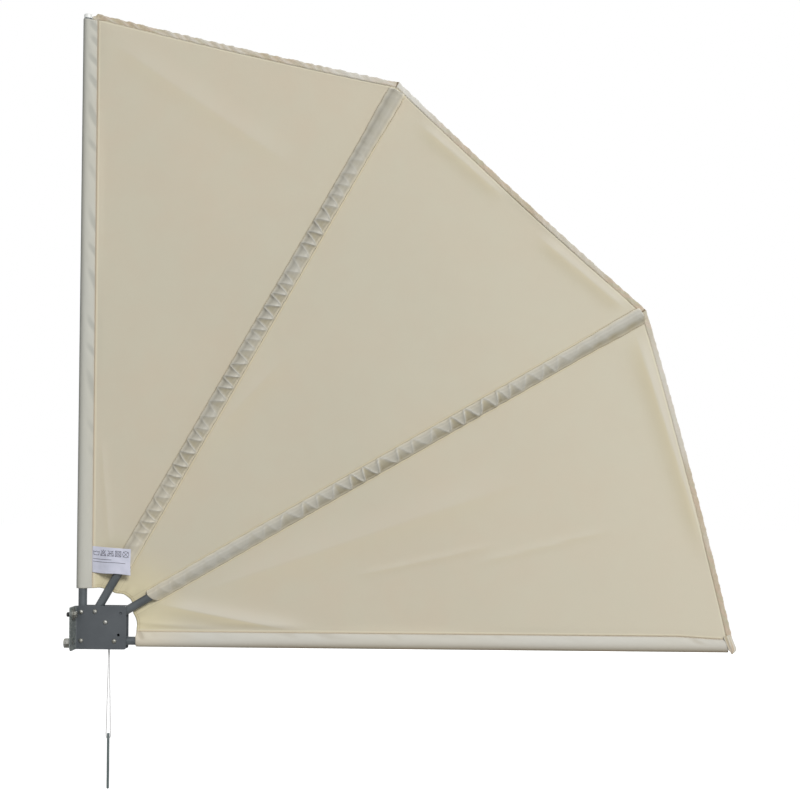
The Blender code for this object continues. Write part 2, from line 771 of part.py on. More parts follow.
def care_label():
    """A printed tag sewn in at the wall sleeve's seam; it hangs in front of arm 1."""
    start = WALL_ARM_X + LOOP_SEAM + GAP
    seam_depth = CLOTH_T / 2 + GAP + LABEL_T
    front_depth = TUBE_R + SLEEVE_EASE + SLEEVE_T + GATHER_DEPTH + LABEL_STAND
    rows = []
    for back in (0.0, LABEL_T):
        grid = []
        for share in np.linspace(0, 1, 13):
            x = start + LABEL_WIDTH * share
            rise = min(share / LABEL_RISE, 1.0)
            y = -seam_depth - (front_depth - seam_depth) * (3 - 2 * rise) * rise**2
            drop = LABEL_DROOP * share
            grid.append([(x, y + back, LABEL_TOP_Z - drop - LABEL_HEIGHT * k / 4) for k in range(5)])
        rows.append(grid)
    shell("care_label", "label", rows[0], rows[1], False, True)


# Lanyard and pin
def arc(centre, radius, start, end, count, flat_axes):
    """Points of an arc in the plane of two axes, by angle in degrees."""
    points = []
    for turn in np.radians(np.linspace(start, end, count)):
        point = list(centre)
        point[flat_axes[0]] += radius * math.cos(turn)
        point[flat_axes[1]] += radius * math.sin(turn)
        points.append(tuple(point))
    return points


def run(first, second, count, ease):
    """Points between two ends of a hanging strand, leaving both ends upright."""
    points = []
    for share in np.linspace(0, 1, count + 2)[1:-1]:
        smooth = share if not ease else (3 - 2 * share) * share**2
        x = first[0] + (second[0] - first[0]) * smooth
        y = first[1] + (second[1] - first[1]) * smooth
        points.append((x, y, first[2] + (second[2] - first[2]) * share))
    return points


def cord_route():
    """From the knot down to the pin's eye, through it, and back up through the back plate."""
    x = CORD_HOLE_X
    top = (x, KNOT_Y, CORD_HOLE_Z - KNOT_R - GAP)
    eye_z = PIN_TOP_Z - PIN_EYE_DROP
    bend_top = eye_z + CORD_BEND_R
    left = (x - CORD_BEND_R, PIN_Y, bend_top)
    right = (x + CORD_BEND_R, PIN_Y, bend_top)
    plate_face = PLATE_SPACE / 2 + PLATE_T
    rise_y = plate_face + CORD_STAND
    turn_z = CORD_HOLE_Z - CORD_BEND_R
    points = [top]
    points += run(top, left, 24, True)
    points += arc((x, PIN_Y, bend_top), CORD_BEND_R, 180, 360, 11, (0, 2))
    points += run(right, (x, rise_y, turn_z), 24, True)
    points += arc((x, rise_y - CORD_BEND_R, turn_z), CORD_BEND_R, 0, 90, 6, (1, 2))
    points.append((x, KNOT_Y + KNOT_R + GAP, CORD_HOLE_Z))
    return points


def lanyard():
    curve = bpy.data.curves.new("lanyard_cord", "CURVE")
    curve.dimensions = "3D"
    curve.bevel_depth = CORD_R
    curve.bevel_resolution = 2
    curve.use_fill_caps = True
    route = cord_route()
    spline = curve.splines.new("POLY")
    spline.points.add(len(route) - 1)
    for point, place_at in zip(spline.points, route):
        point.co = (*place_at, 1.0)
    curve.materials.append(paint("lanyard_cord", *LOOKS["cord"]))
    item = bpy.data.objects.new("lanyard_cord", curve)
    bpy.context.scene.collection.objects.link(item)
    knot_at = (CORD_HOLE_X, KNOT_Y, CORD_HOLE_Z)
    ball = dome(KNOT_R, KNOT_R, -KNOT_R)
    ball += [(-along, radius) for along, radius in ball[-2::-1]]
    lathe("lanyard_knot", "cord", ball, knot_at, (0, 0, 1), 12)
    chamfer = 0.0005
    profile = [(0, 0), (0, PIN_R - chamfer), (chamfer, PIN_R)]
    profile += [(PIN_LENGTH - along, radius) for along, radius in dome(PIN_R, PIN_R, 0)[::-1]]
    top = (CORD_HOLE_X, PIN_Y, PIN_TOP_Z)
    pin = lathe("locking_pin", "zinc", profile, top, (0, 0, -1), 20)
    eye = (CORD_HOLE_X, PIN_Y, PIN_TOP_Z - PIN_EYE_DROP + CORD_R / 2)
    cut_round(pin, eye, (1, 0, 0), PIN_EYE_R, PIN_R + 0.002)


# Swinging
def swing(arm, *carried):
    """An empty on an arm's pivot; whatever it carries turns about the pivot bolt with it."""
    pivot = bpy.data.objects.new(f"{arm.name}_pivot", None)
    pivot.empty_display_size = TUBE_R * 2
    pivot.location = arm.at(0)
    bpy.context.scene.collection.objects.link(pivot)
    for name in (f"{arm.name}_tube", f"{arm.name}_cap", f"{arm.name}_sleeve", *carried):
        item = bpy.data.objects[name]
        item.parent = pivot
        item.matrix_parent_inverse = Matrix.Translation(pivot.location).inverted()


def main():
    clear_objects()
    bracket()
    wall_fixings()
    arms()
    cloth()
    care_label()
    lanyard()
    swing(ARM_1)
    swing(ARM_2, "middle_panel", "middle_edge_tape")
    swing(LOWER_ARM, "lower_panel", "lower_edge_tape")


main()
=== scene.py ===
# %% [markdown]
# # A side awning, dressed for a photograph
# The awning is a quarter fan of cream cloth. One tube stands along the wall, one lies
# level, two more stand between them like the sticks of a hand fan, and all four meet in
# a folded steel bracket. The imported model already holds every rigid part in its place.
# This file gives the metal its finishes and makes the cloth, which a plain solid can't
# show: puckered sleeves, roped hems, stitches, a care label and a cord.

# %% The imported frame
import json
import math

import bpy
import numpy as np
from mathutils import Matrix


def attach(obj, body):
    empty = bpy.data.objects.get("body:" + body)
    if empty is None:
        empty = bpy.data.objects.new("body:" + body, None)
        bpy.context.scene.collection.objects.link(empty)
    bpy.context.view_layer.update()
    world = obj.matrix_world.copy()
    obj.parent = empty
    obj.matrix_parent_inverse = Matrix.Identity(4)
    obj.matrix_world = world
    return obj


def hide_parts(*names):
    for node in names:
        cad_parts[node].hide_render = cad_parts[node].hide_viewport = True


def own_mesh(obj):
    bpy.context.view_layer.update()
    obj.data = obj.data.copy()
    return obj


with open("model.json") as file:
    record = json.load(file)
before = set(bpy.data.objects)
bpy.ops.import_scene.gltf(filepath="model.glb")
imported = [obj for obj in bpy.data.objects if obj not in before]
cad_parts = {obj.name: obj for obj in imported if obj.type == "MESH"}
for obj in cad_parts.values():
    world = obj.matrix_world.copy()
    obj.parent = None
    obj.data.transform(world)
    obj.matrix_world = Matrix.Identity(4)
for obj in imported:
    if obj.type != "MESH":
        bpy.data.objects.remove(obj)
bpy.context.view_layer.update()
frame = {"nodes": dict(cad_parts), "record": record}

# %% [markdown]
# ## Camera
# The picture was taken straight on, from about as far away as a person stands to see
# the whole awning, with the camera a little below the middle and hardly tilted. A small
# lens shift then lifts the view, which keeps the tubes parallel. Turning the camera by
# half a degree about its own line of sight copies the tilt of the picture.

# %% Camera
VIEW_WIDTH = 1.720
VIEW_MIDDLE = (0.6907, 0.4944)
CAMERA_AWAY = 2.4
CAMERA_TILT = math.radians(0.57)
LENS_SHIFT = 0.12


def add_object(name, data):
    """A new object of the scene."""
    item = bpy.data.objects.new(name, data)
    bpy.context.scene.collection.objects.link(item)
    return item


def set_place(item, side, up, back, spot):
    """Puts an object at a spot, with its own X, Y and Z along three directions."""
    place = np.eye(4)
    place[:3] = np.stack([side, up, back, spot], axis=1)
    item.matrix_world = place.T.tolist()


right = np.array([math.cos(CAMERA_TILT), 0, math.sin(CAMERA_TILT)])
up = np.array([-math.sin(CAMERA_TILT), 0, math.cos(CAMERA_TILT)])
camera_data = bpy.data.cameras.new("camera")
camera_data.sensor_width = 36
camera_data.lens = camera_data.sensor_width * CAMERA_AWAY / VIEW_WIDTH
camera_data.shift_y = LENS_SHIFT
camera = add_object("camera", camera_data)
bpy.context.scene.camera = camera
spot = np.array([VIEW_MIDDLE[0], -CAMERA_AWAY, VIEW_MIDDLE[1]]) - up * LENS_SHIFT * VIEW_WIDTH
set_place(camera, right, up, (0, -1, 0), spot)

# %% [markdown]
# ## Surfaces from arrays
# Cloth, cord and stitches are all grids of points: one direction runs along the piece
# and the other across or around it. Working the whole grid out as one numpy array is
# quick and keeps each shape a formula. Blender then needs the points, the quads between
# them, and a UV map in metres, so that a weave has its true size on every piece.


# %% Grid to mesh
def smooth_step(x):
    """0 below 0 and 1 above 1, with a soft S between them."""
    x = np.clip(x, 0, 1)
    return x * x * (3 - 2 * x)


def bell(x, middle, spread):
    """A hump: 1 at its middle, falling off evenly to both sides."""
    return np.exp(-(((x - middle) / spread) ** 2))


def unit(vectors):
    """The same directions, each with length 1."""
    return vectors / np.linalg.norm(vectors, axis=-1, keepdims=True)


def together(*parts):
    """Arrays of x, y and so on, spread to one shape and joined as the last axis."""
    return np.stack(np.broadcast_arrays(*parts), axis=-1)


def quads_of(index):
    """The four corners of each cell in a grid of point numbers."""
    corners = (index[:-1, :-1], index[:-1, 1:], index[1:, 1:], index[1:, :-1])
    return np.stack(corners, axis=-1).reshape(-1, 4)


def mesh_piece(name, points, faces, material, wall=0.0):
    """A smooth-shaded object at the origin; a sheet gets its thickness here."""
    mesh = bpy.data.meshes.new(name)
    mesh.from_pydata(points, [], faces.tolist())
    mesh.polygons.foreach_set("use_smooth", np.ones(len(mesh.polygons), bool))
    mesh.materials.append(material)
    mesh.update()
    item = add_object(name, mesh)
    if wall:
        thicken = item.modifiers.new("cloth", "SOLIDIFY")
        thicken.thickness = wall
        thicken.offset = 0
    print(f"{name}: {len(mesh.polygons)} faces")
    return item


def grid_piece(name, points, uv, material, wall=0.0, closed=False, values=()):
    """Quads between neighbouring points of a (rows, columns, 3) grid.

    closed joins the last column to the first. wall is the cloth's thickness, laid half
    on each side. values are named numbers kept at each point for the finish to read.
    """
    rows, columns = points.shape[:2]
    index = np.arange(rows * columns).reshape(rows, columns)
    spot = np.arange(rows * uv.shape[1]).reshape(rows, uv.shape[1])
    if closed:
        index = np.concatenate([index, index[:, :1]], axis=1)
    item = mesh_piece(name, points.reshape(-1, 3), quads_of(index), material, wall)
    layer = item.data.uv_layers.new(name="cloth")
    corners = uv.reshape(-1, 2)[quads_of(spot).ravel()]
    layer.data.foreach_set("uv", corners.astype(np.float32).ravel())
    for label, numbers in dict(values).items():
        kept = item.data.attributes.new(label, "FLOAT", "POINT")
        kept.data.foreach_set("value", numbers.astype(np.float32).ravel())
    return item


# %% [markdown]
# ## Shader sums
# A finish is a sum of patterns. The class below wraps one output of a node, so that
# `1 - mask` or `weave * 0.2` can be written as plain arithmetic and the Math nodes are
# added behind the scenes. Colours are mixed with Mix nodes, because a Math node would
# turn them grey.


# %% Finishes as expressions
class Value:
    """A node's output that can be added, multiplied and so on."""

    def __init__(self, owner, socket):
        self.owner = owner
        self.socket = socket

    def maths(self, operation, *others, swapped=False):
        items = (self, *others)[::-1] if swapped else (self, *others)
        return self.owner.node("ShaderNodeMath", {"operation": operation}, dict(enumerate(items)))

    def __add__(self, other):
        return self.maths("ADD", other)

    def __mul__(self, other):
        return self.maths("MULTIPLY", other)

    def __sub__(self, other):
        return self.maths("SUBTRACT", other)

    def __rsub__(self, other):
        return self.maths("SUBTRACT", other, swapped=True)

    def __truediv__(self, other):
        return self.maths("DIVIDE", other)

    __radd__ = __add__
    __rmul__ = __mul__

    def step(self, low, high):
        """0 below low, 1 above high, smooth between; low may be the larger one."""
        settings = {"interpolation_type": "SMOOTHSTEP"}
        inputs = {"Value": self, "From Min": low, "From Max": high}
        return self.owner.node("ShaderNodeMapRange", settings, inputs)

    def sine(self):
        return self.maths("SINE")

    def size(self):
        return self.maths("ABSOLUTE")


class Nodes:
    """A node tree and the one method that adds nodes to it."""

    def __init__(self, tree):
        self.tree = tree

    def node(self, kind, settings, inputs, output=0):
        """Any node: its settings first, then its inputs by name or number."""
        made = self.tree.nodes.new(kind)
        for label, setting in settings.items():
            setattr(made, label, setting)
        for label, value in inputs.items():
            socket = made.inputs[label]
            if isinstance(value, Value):
                self.tree.links.new(value.socket, socket)
            else:
                socket.default_value = value
        return Value(self, made.outputs[output])


class Finish(Nodes):
    """A material and the patterns that feed its shader."""

    def __init__(self, name, colour, roughness, metallic=0.0, **sockets):
        self.material = bpy.data.materials.new(name)
        self.material.use_nodes = True
        super().__init__(self.material.node_tree)
        self.shader = self.tree.nodes["Principled BSDF"]
        sockets |= {"Base Color": (*colour, 1), "Roughness": roughness, "Metallic": metallic}
        for label, number in sockets.items():
            self.shader.inputs[label.replace("_", " ")].default_value = number

    def mix(self, share, first, second, kind="MIX"):
        """A colour between two colours."""
        settings = {"data_type": "RGBA", "blend_type": kind}
        ends = [c if isinstance(c, Value) else (*c, 1) for c in (first, second)]
        return self.node("ShaderNodeMix", settings, {0: share, 6: ends[0], 7: ends[1]}, 2)

    def layers(self, shade, *coats):
        """Colours laid over a first one, each with the share that it covers."""
        for share, colour in coats:
            shade = self.mix(share, shade, colour)
        return shade

    def place(self):
        return self.node("ShaderNodeTexCoord", {}, {}, "Object")

    def x(self):
        return self.node("ShaderNodeSeparateXYZ", {}, {0: self.place()})

    def noise(self, where, scale, detail=2.0, stretch=(1, 1, 1)):
        """Soft random values about 0.5; stretch squeezes the pattern along an axis."""
        moved = self.node("ShaderNodeMapping", {}, {"Vector": where, "Scale": stretch})
        inputs = {"Vector": moved, "Scale": scale, "Detail": detail}
        return self.node("ShaderNodeTexNoise", {}, inputs, "Fac")

    def uv(self):
        """The two numbers of the piece's own map, in metres."""
        where = self.node("ShaderNodeUVMap", {"uv_map": "cloth"}, {})
        parts = [self.node("ShaderNodeSeparateXYZ", {}, {0: where}, k) for k in (0, 1)]
        return where, *parts

    def kept(self, name):
        return self.node("ShaderNodeAttribute", {"attribute_name": name}, {}, "Fac")

    def wear(self, colour=None, roughness=None, height=None, depth=0.0):
        """Links what varies over the surface: colour, roughness and a bump."""
        bump = None
        if height is not None:
            inputs = {"Height": height, "Distance": depth, "Strength": 1.0}
            bump = self.node("ShaderNodeBump", {}, inputs)
        for label, value in {"Base Color": colour, "Roughness": roughness, "Normal": bump}.items():
            if value is not None:
                self.tree.links.new(value.socket, self.shader.inputs[label])
        return self.material


def line_mask(distance, middle, half, soft=0.0004):
    """1 within half of a line at the given distance, and 0 away from it."""
    return (distance - middle).size().step(half + soft, half - soft)


# %% [markdown]
# ## Metal and plastic
# The plates and tubes are powder coated: a dark, slightly blue grey with a fine orange
# peel and a little dust. Bolts, nuts and the pin are zinc plated steel, bright but soft
# in their reflections. The end caps are plain white plastic. Object coordinates carry
# these patterns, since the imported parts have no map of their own.


# %% Powder coat, zinc and plastic
def powder_coat(name, colour, darker, lighter, dusty, flange_tone_and_bend_highlight=False):
    """Dark grey coat: broad cloudiness, faint dust and a fine orange peel.

    With flange_tone_and_bend_highlight, its wall flange is a greenish, mottled grey, a
    band of the object's own X that is full on the flange, and a painted highlight runs
    along the flange's bent corner.
    """
    coat = Finish(name, colour, 0.42)
    where = coat.place()
    cloud, dust, peel = (coat.noise(where, *grain) for grain in ((18, 3), (420, 2), (900, 1)))
    shade = coat.mix(cloud.step(0.3, 0.7), darker, lighter)
    shade = coat.layers(shade, (dust.step(0.62, 0.8) * dusty[0], dusty[1]))
    if flange_tone_and_bend_highlight:
        x, spots = coat.x(), coat.noise(where, 260, 3)
        mottled = coat.mix(spots.step(0.35, 0.65), (0.070, 0.088, 0.086), (0.135, 0.160, 0.152))
        # Painted highlight along the flange's bent corner, broken up by the spots.
        bend_highlight = line_mask(x, 0.0006, 0.0016, 0.0012) * spots.step(0.3, 0.6)
        flange = x.step(0.0032, 0.0018)
        shade = coat.layers(shade, (flange * 0.9, mottled), (bend_highlight * 0.6, (0.34, 0.36, 0.34)))
    return coat.wear(shade, cloud * 0.16 + dust * 0.1 + 0.3, peel + dust * 0.3, 0.00006)


def zinc_plate():
    """Bright plating with a cloudy bloom and fine turning marks."""
    plate = Finish("zinc plate", (0.36, 0.36, 0.34), 0.3, 1.0)
    where = plate.place()
    bloom = plate.noise(where, 160, 3)
    marks = plate.noise(where, 900, 2, (1, 6, 1))
    shade = plate.mix(bloom.step(0.35, 0.7), (0.37, 0.37, 0.35), (0.22, 0.22, 0.185))
    return plate.wear(shade, bloom * 0.24 + marks * 0.12 + 0.34, marks, 0.00002)


def pin_steel():
    """Blued steel of the locking pin: dark, even, with lengthwise drawing marks."""
    steel = Finish("pin steel", (0.17, 0.2, 0.2), 0.38, 0.7)
    where = steel.place()
    drawn = steel.noise(where, 500, 2, (1, 1, 0.05))
    shade = steel.mix(drawn.step(0.35, 0.65), (0.135, 0.17, 0.172), (0.21, 0.25, 0.25))
    return steel.wear(shade, drawn * 0.2 + 0.26, drawn, 0.00002)


def plastic(name, colour, roughness):
    """Moulded plastic: even colour with a fine grain and slight dirt."""
    moulded = Finish(name, colour, roughness)
    where = moulded.place()
    grain = moulded.noise(where, 700, 2)
    dirt = moulded.noise(where, 60, 3)
    dull = tuple(c * 0.86 for c in colour)
    shade = moulded.mix(dirt.step(0.4, 0.75) * 0.5, colour, dull)
    return moulded.wear(shade, grain * 0.14 + (roughness - 0.07), grain, 0.00002)


plate_coat = powder_coat(
    "bracket coat",
    (0.078, 0.087, 0.096),
    (0.072, 0.081, 0.089),
    (0.086, 0.096, 0.105),
    (0.3, (0.16, 0.17, 0.17)),
    flange_tone_and_bend_highlight=True,
)
tube_coat = powder_coat(
    "tube coat",
    (0.086, 0.098, 0.106),
    (0.07224, 0.08232, 0.08904),
    (0.10492, 0.11956, 0.12932),
    (0.35, (0.2, 0.21, 0.21)),
)
FINISH_OF_SLOT = {
    "bracket_paint": plate_coat,
    "tube_paint": tube_coat,
    "zinc_steel": zinc_plate(),
    "white_plastic": plastic("white plastic", (0.78, 0.79, 0.77), 0.4),
    "black_plastic": plastic("black plastic", (0.02, 0.02, 0.021), 0.5),
}
for part in frame["record"]["subparts"]:
    finish = FINISH_OF_SLOT.get(part["material_slot"])
    if finish:
        materials = frame["nodes"][part["node"]].data.materials
        materials.clear()
        materials.append(pin_steel() if part["node"] == "locking_pin" else finish)

# %% [markdown]
# ## The lanyard
# A thin white cord hangs from a hole in the back plate and carries the locking pin. It
# is one length: from its knot it runs down, round through the pin's eye and back up. It
# is modelled as a tube carried along that line, so it keeps its true thickness in the
# tight turn at the eye.

# %% The cord's line
CORD_R = 0.0010
CORD_HOLE = (0.0680, -0.0405)
KNOT_Y = 0.0050
KNOT_R = 0.0026
GAP = 0.0003
PIN_Y = 0.0100
EYE_Z = -0.2300 - 0.0118
BEND_R = 0.0042
RISE_Y = 0.0120 + 0.0025
KNOT_SIZE = 0.00055
END_SHARE = 0.02
YARN_U, YARN_V = 4000, 3600


def strand(first, second, count):
    """Points between two ends that leave both of them upright: a smooth S sideways."""
    share = np.linspace(0, 1, count + 2)[1:-1, None]
    first, second = np.array(first), np.array(second)
    line = first + (second - first) * smooth_step(share)
    line[:, 2:] = first[2] + (second[2] - first[2]) * share
    return line


def turn(centre, radius, start, end, count, axes):
    """Points on part of a circle, in the plane of two axes."""
    angle = np.radians(np.linspace(start, end, count))
    line = np.tile(np.array(centre, float), (count, 1))
    line[:, axes[0]] += radius * np.cos(angle)
    line[:, axes[1]] += radius * np.sin(angle)
    return line


def cord_line():
    """Down from the knot, through the eye, and up behind the back plate to its hole."""
    x, z = CORD_HOLE
    top = np.array([[x, KNOT_Y, z - KNOT_R - GAP]])
    bend_z = EYE_Z + BEND_R
    low = turn((x, PIN_Y, bend_z), BEND_R, 180, 360, 9, (0, 2))
    high = turn((x, RISE_Y - BEND_R, z - BEND_R), BEND_R, 0, 90, 6, (1, 2))
    down = strand(top[0], low[0], 9)
    rise = strand(low[-1], high[0], 9)
    return np.concatenate([top, down, low, rise, high, [[x, KNOT_Y + KNOT_R + GAP, z]]])


def arc_length(line):
    """Distance along a line of points, at each of them."""
    steps = np.linalg.norm(np.diff(line, axis=0), axis=1)
    return np.concatenate([[0], np.cumsum(steps)])


def along_line(line, where):
    """Points on a smooth curve through the given ones, at given distances along it.

    Between two points it is a cubic whose slopes point from neighbour to neighbour.
    """
    far = arc_length(line)
    slope = np.gradient(line, far, axis=0)
    k = np.clip(np.searchsorted(far, where, side="right") - 1, 0, len(far) - 2)
    span = (far[k + 1] - far[k])[:, None]
    t = (np.asarray(where) - far[k])[:, None] / span
    start = (1 + 2 * t) * (1 - t) ** 2 * line[k] + t * (1 - t) ** 2 * span * slope[k]
    end = t * t * (3 - 2 * t) * line[k + 1] - t * t * (1 - t) * span * slope[k + 1]
    return start + end


def tube_grid(line, radius, around, side=(0.31, 0.9, 0.3)):
    """Circles about a line; each one stands square to the line's direction."""
    way = unit(np.gradient(line, axis=0))
    first = unit(np.cross(way, side))
    second = np.cross(way, first)
    angle = np.linspace(0, 2 * np.pi, around, endpoint=False)[None, :, None]
    spoke = first[:, None] * np.cos(angle) + second[:, None] * np.sin(angle)
    return line[:, None] + spoke * np.reshape(radius, (-1, 1, 1))


def tube_map(line, around, girth):
    """UV in metres: u round the tube, v along it."""
    u, v = np.meshgrid(np.linspace(0, girth, around + 1), arc_length(line))
    return together(u, v)


# %% [markdown]
# A cord of this size is braided. Two families of slanting strands cross on its surface,
# so the finish is two sine waves of the map, one leaning each way, and their product is
# the little bump of every crossing.


# %% Cord and knot
def braid():
    yarn = Finish("white braid", (0.66, 0.66, 0.65), 0.85, Sheen_Weight=0.2)
    where, u, v = yarn.uv()
    one = (u * YARN_U + v * YARN_V).sine()
    two = (u * YARN_U - v * YARN_V).sine()
    crossing = one * two
    fuzz = yarn.noise(yarn.place(), 1500, 2)
    # Painted shade: the braid is darker in the dips between its strands.
    shade = yarn.mix(crossing.step(-0.9, 0.5), (0.52, 0.52, 0.52), (0.80, 0.80, 0.79))
    return yarn.wear(shade, None, crossing + fuzz * 0.6, 0.0002)


def cord_piece(name, line, radius, material, around=12):
    """A round cord; both ends close to a point inside their last ring."""
    size = np.full(len(line), radius)
    size[[0, -1]] = radius * END_SHARE
    grid = tube_grid(line, size, around)
    return grid_piece(name, grid, tube_map(line, around, 2 * np.pi * radius), material, closed=True)


white_braid = braid()
route = cord_line()
cord_length = arc_length(route)[-1]
fine = along_line(route, np.linspace(0, cord_length, 420))
fine = np.concatenate([fine[:1], fine, fine[-1:]])
fine[0] += (fine[1] - fine[2]) * END_SHARE
fine[-1] += (fine[-2] - fine[-3]) * END_SHARE
lanyard = cord_piece("lanyard", fine, CORD_R, white_braid)
knot_turn = np.linspace(0, 2 * np.pi * 0.97, 90)
knot_shape = together(
    np.sin(knot_turn) + 2 * np.sin(2 * knot_turn),
    np.cos(knot_turn) - 2 * np.cos(2 * knot_turn),
    -1.4 * np.sin(3 * knot_turn),
)
knot_line = np.array([CORD_HOLE[0], KNOT_Y, CORD_HOLE[1]]) + knot_shape * KNOT_SIZE
knot = cord_piece("overhand_knot", knot_line, CORD_R * 0.95, white_braid, 10)
for piece, part in ((lanyard, "lanyard_cord"), (knot, "lanyard_knot")):
    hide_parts(part)
    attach(piece, "bracket")

# %% [markdown]
# ## Where the arms lie
# Every piece of cloth is measured from a tube. An arm here is a pivot, a direction and
# a length, and `at` turns "so far along, so far across, so deep" into a place in the
# awning's own frame, for whole arrays at once.


# %% Arms and seams
class Arm:
    """A tube in the arms' plane: across points to the side that folds to the wall."""

    def __init__(self, x, z, angle, reach):
        angle = math.radians(angle)
        self.foot = np.array([x, z])
        self.along = np.array([math.cos(angle), math.sin(angle)])
        self.across = np.array([-math.sin(angle), math.cos(angle)])
        self.reach = reach

    def flat(self, along, across):
        """(x, z) of a place on the arm's own grid."""
        along, across = np.broadcast_arrays(along, across)
        return self.foot + along[..., None] * self.along + across[..., None] * self.across

    def at(self, along, across, depth):
        point = self.flat(along, across)
        return together(point[..., 0], depth, point[..., 1])

    def off(self, point, shift=0.0):
        """Distance of (x, z) points from the arm's line, moved sideways by shift."""
        return (point - self.foot) @ self.across - shift


WALL_ARM = Arm(0.0130, 0.0, 90, 1.3155)
ARM_1 = Arm(0.0427, 0.0345, 60.5, 1.2905)
ARM_2 = Arm(0.0652, 0.0116, 30.4, 1.3270)
LOWER_ARM = Arm(0.0843, -0.0288, 0, 1.3143)
TUBE_R = 0.009
SEAM = 0.0201
CLOTH_BACK = 0.0096
SEAM_REST = 0.0160
TAPE_WIDTH = 0.012
SEAM_IN = 0.0016
SEAM_X = 0.0331
CORNERS = np.array([(SEAM_X, 1.3176), (0.6822, 1.1808), (1.2203, 0.6946), (1.4165, -0.0385)])

# %% [markdown]
# ## Cloth
# The sheet is a plain woven polyester. Three things make it read as cloth: the weave, a
# faint unevenness of its colour, and the pale and tan lines where it is folded and sewn;
# the pale line beside a seam is a painted highlight on its raised edge.
# The weave is the product of two sine waves of the map, which is in metres, so a thread
# is 0.9 mm wide on every piece. Where the seams run is kept at the points of the mesh.


# %% Woven cloth
THREAD = 0.0009


def weave(finish, u, v):
    """Bumps of a plain weave: threads over and under each other in both directions."""
    over = (u * (np.pi / THREAD)).sine()
    under = (v * (np.pi / THREAD)).sine()
    return over * under


def woven(name, colour, warm, pale, sheen=0.12):
    """Cloth with a fine weave, slow warm and pale drifts and a few slubs."""
    cloth = Finish(name, colour, 0.88, Sheen_Weight=sheen, Specular_IOR_Level=0.25)
    where, u, v = cloth.uv()
    place_in = cloth.place()
    threads = weave(cloth, u, v)
    drift = cloth.noise(place_in, 2.2, 2).step(0.35, 0.65)
    mottle = cloth.noise(place_in, 14, 3).step(0.3, 0.7)
    slub = cloth.noise(where, 900, 2, (0.12, 1, 1)).step(0.6, 0.8)
    darker = tuple(c * 0.8 for c in colour)
    shade = cloth.layers(colour, (drift * 0.5, warm), (mottle * 0.3, pale), (slub * 0.12, darker))
    shaded = cloth.mix(1.0, shade, (0.94, 0.94, 0.94), "MULTIPLY")
    return cloth, cloth.mix(threads.step(-1, 0.2), shaded, shade), threads + slub * 0.3


def sheet_finish():
    """The big sheet: yellower at the cut-out, tan lines along its seams with a pale painted
    highlight beside them, paler towards the right as painted light, and painted highlight
    and shade on its folds.
    """
    cream = (0.575, 0.528, 0.415)
    cloth, shade, relief = woven("canopy cloth", cream, (0.605, 0.527, 0.405), (0.575, 0.56, 0.445))
    cut, seam, hem, strip = (cloth.kept(f"from_{line}") for line in ("cut", "seam", "hem", "strip"))
    shade = cloth.layers(
        shade,
        # Painted light: the sheet grows paler towards the right.
        (cloth.x().step(0.5, 1.5) * 0.5, (0.65, 0.60, 0.475)),
        # Painted highlight on the upper sides of folds, painted shade on their under sides.
        (cloth.kept("over") * 0.75, (0.64, 0.60, 0.51)),
        (cloth.kept("under") * 0.7, (0.60, 0.53, 0.36)),
        (cut.step(0.14, 0.0) * 0.75, (0.71, 0.635, 0.41)),
        (line_mask(cut, 0.0022, 0.0012) * 0.55, (0.74, 0.65, 0.38)),
        (line_mask(cut, 0.0062, 0.0006) * 0.55, (0.42, 0.33, 0.17)),
        (line_mask(seam, 0.0012, 0.0014) * 0.7, (0.64, 0.54, 0.40)),
        # Painted highlight: the pale line beside the seam.
        (line_mask(seam, 0.0042, 0.0016) * 0.55, (0.70, 0.645, 0.49)),
        (line_mask(hem, 0.0142, 0.0011) * 0.6, (0.70, 0.66, 0.50)),
        (line_mask(strip, 0.0176, 0.0008) * 0.6, (0.72, 0.65, 0.44)),
        (line_mask(strip, 0.0192, 0.0004) * 0.5, (0.45, 0.37, 0.24)),
    )
    return cloth.wear(shade, None, relief, 0.00012)


def sleeve_finish(name, colour, tan, hollow_shade, near=0.0, tube=0.0):
    """A sleeve: cooler than the sheet, tan where it is sewn on, with painted shade in its
    hollows and a painted highlight on its crests.

    tan is (reach, share, colour) at its seams; on the strips its colour is pale, a painted
    highlight along their edges. hollow_shade is (share, colour) of the painted shade. near
    is how much warmer it is over its first stretch from the bracket, and tube how strong
    the painted shade is where it lies tight on the tube, shade that also stands for the
    dark tube showing through; its loose flanks then get a painted highlight.
    """
    warm = tuple(c * f for c, f in zip(colour, (1.02, 0.99, 0.93)))
    pale = tuple(c * 1.06 for c in colour)
    cloth, shade, relief = woven(f"{name} sleeve cloth", colour, warm, pale)
    shade = cloth.layers(
        shade,
        (cloth.x().step(0.30, 0.12) * near, (0.70, 0.635, 0.50)),
        # Painted shade in the hollows and a painted highlight on the crests.
        (cloth.kept("hollow_shade") * hollow_shade[0], hollow_shade[1]),
        (cloth.kept("crest") * 0.55, (0.66, 0.665, 0.63)),
        (cloth.kept("from_edge").step(tan[0], 0.0) * tan[1], tan[2]),
    )
    if tube:
        # Painted shade where the cloth lies tight on the tube, also standing for the dark tube
        # showing through, and a painted highlight on its loose flanks.
        show_through = (cloth.kept("tight") * tube, (0.32, 0.305, 0.25))
        shade = cloth.layers(shade, show_through, (cloth.kept("loose"), (0.80, 0.785, 0.71)))
    return cloth.wear(shade, None, relief, 0.00012)


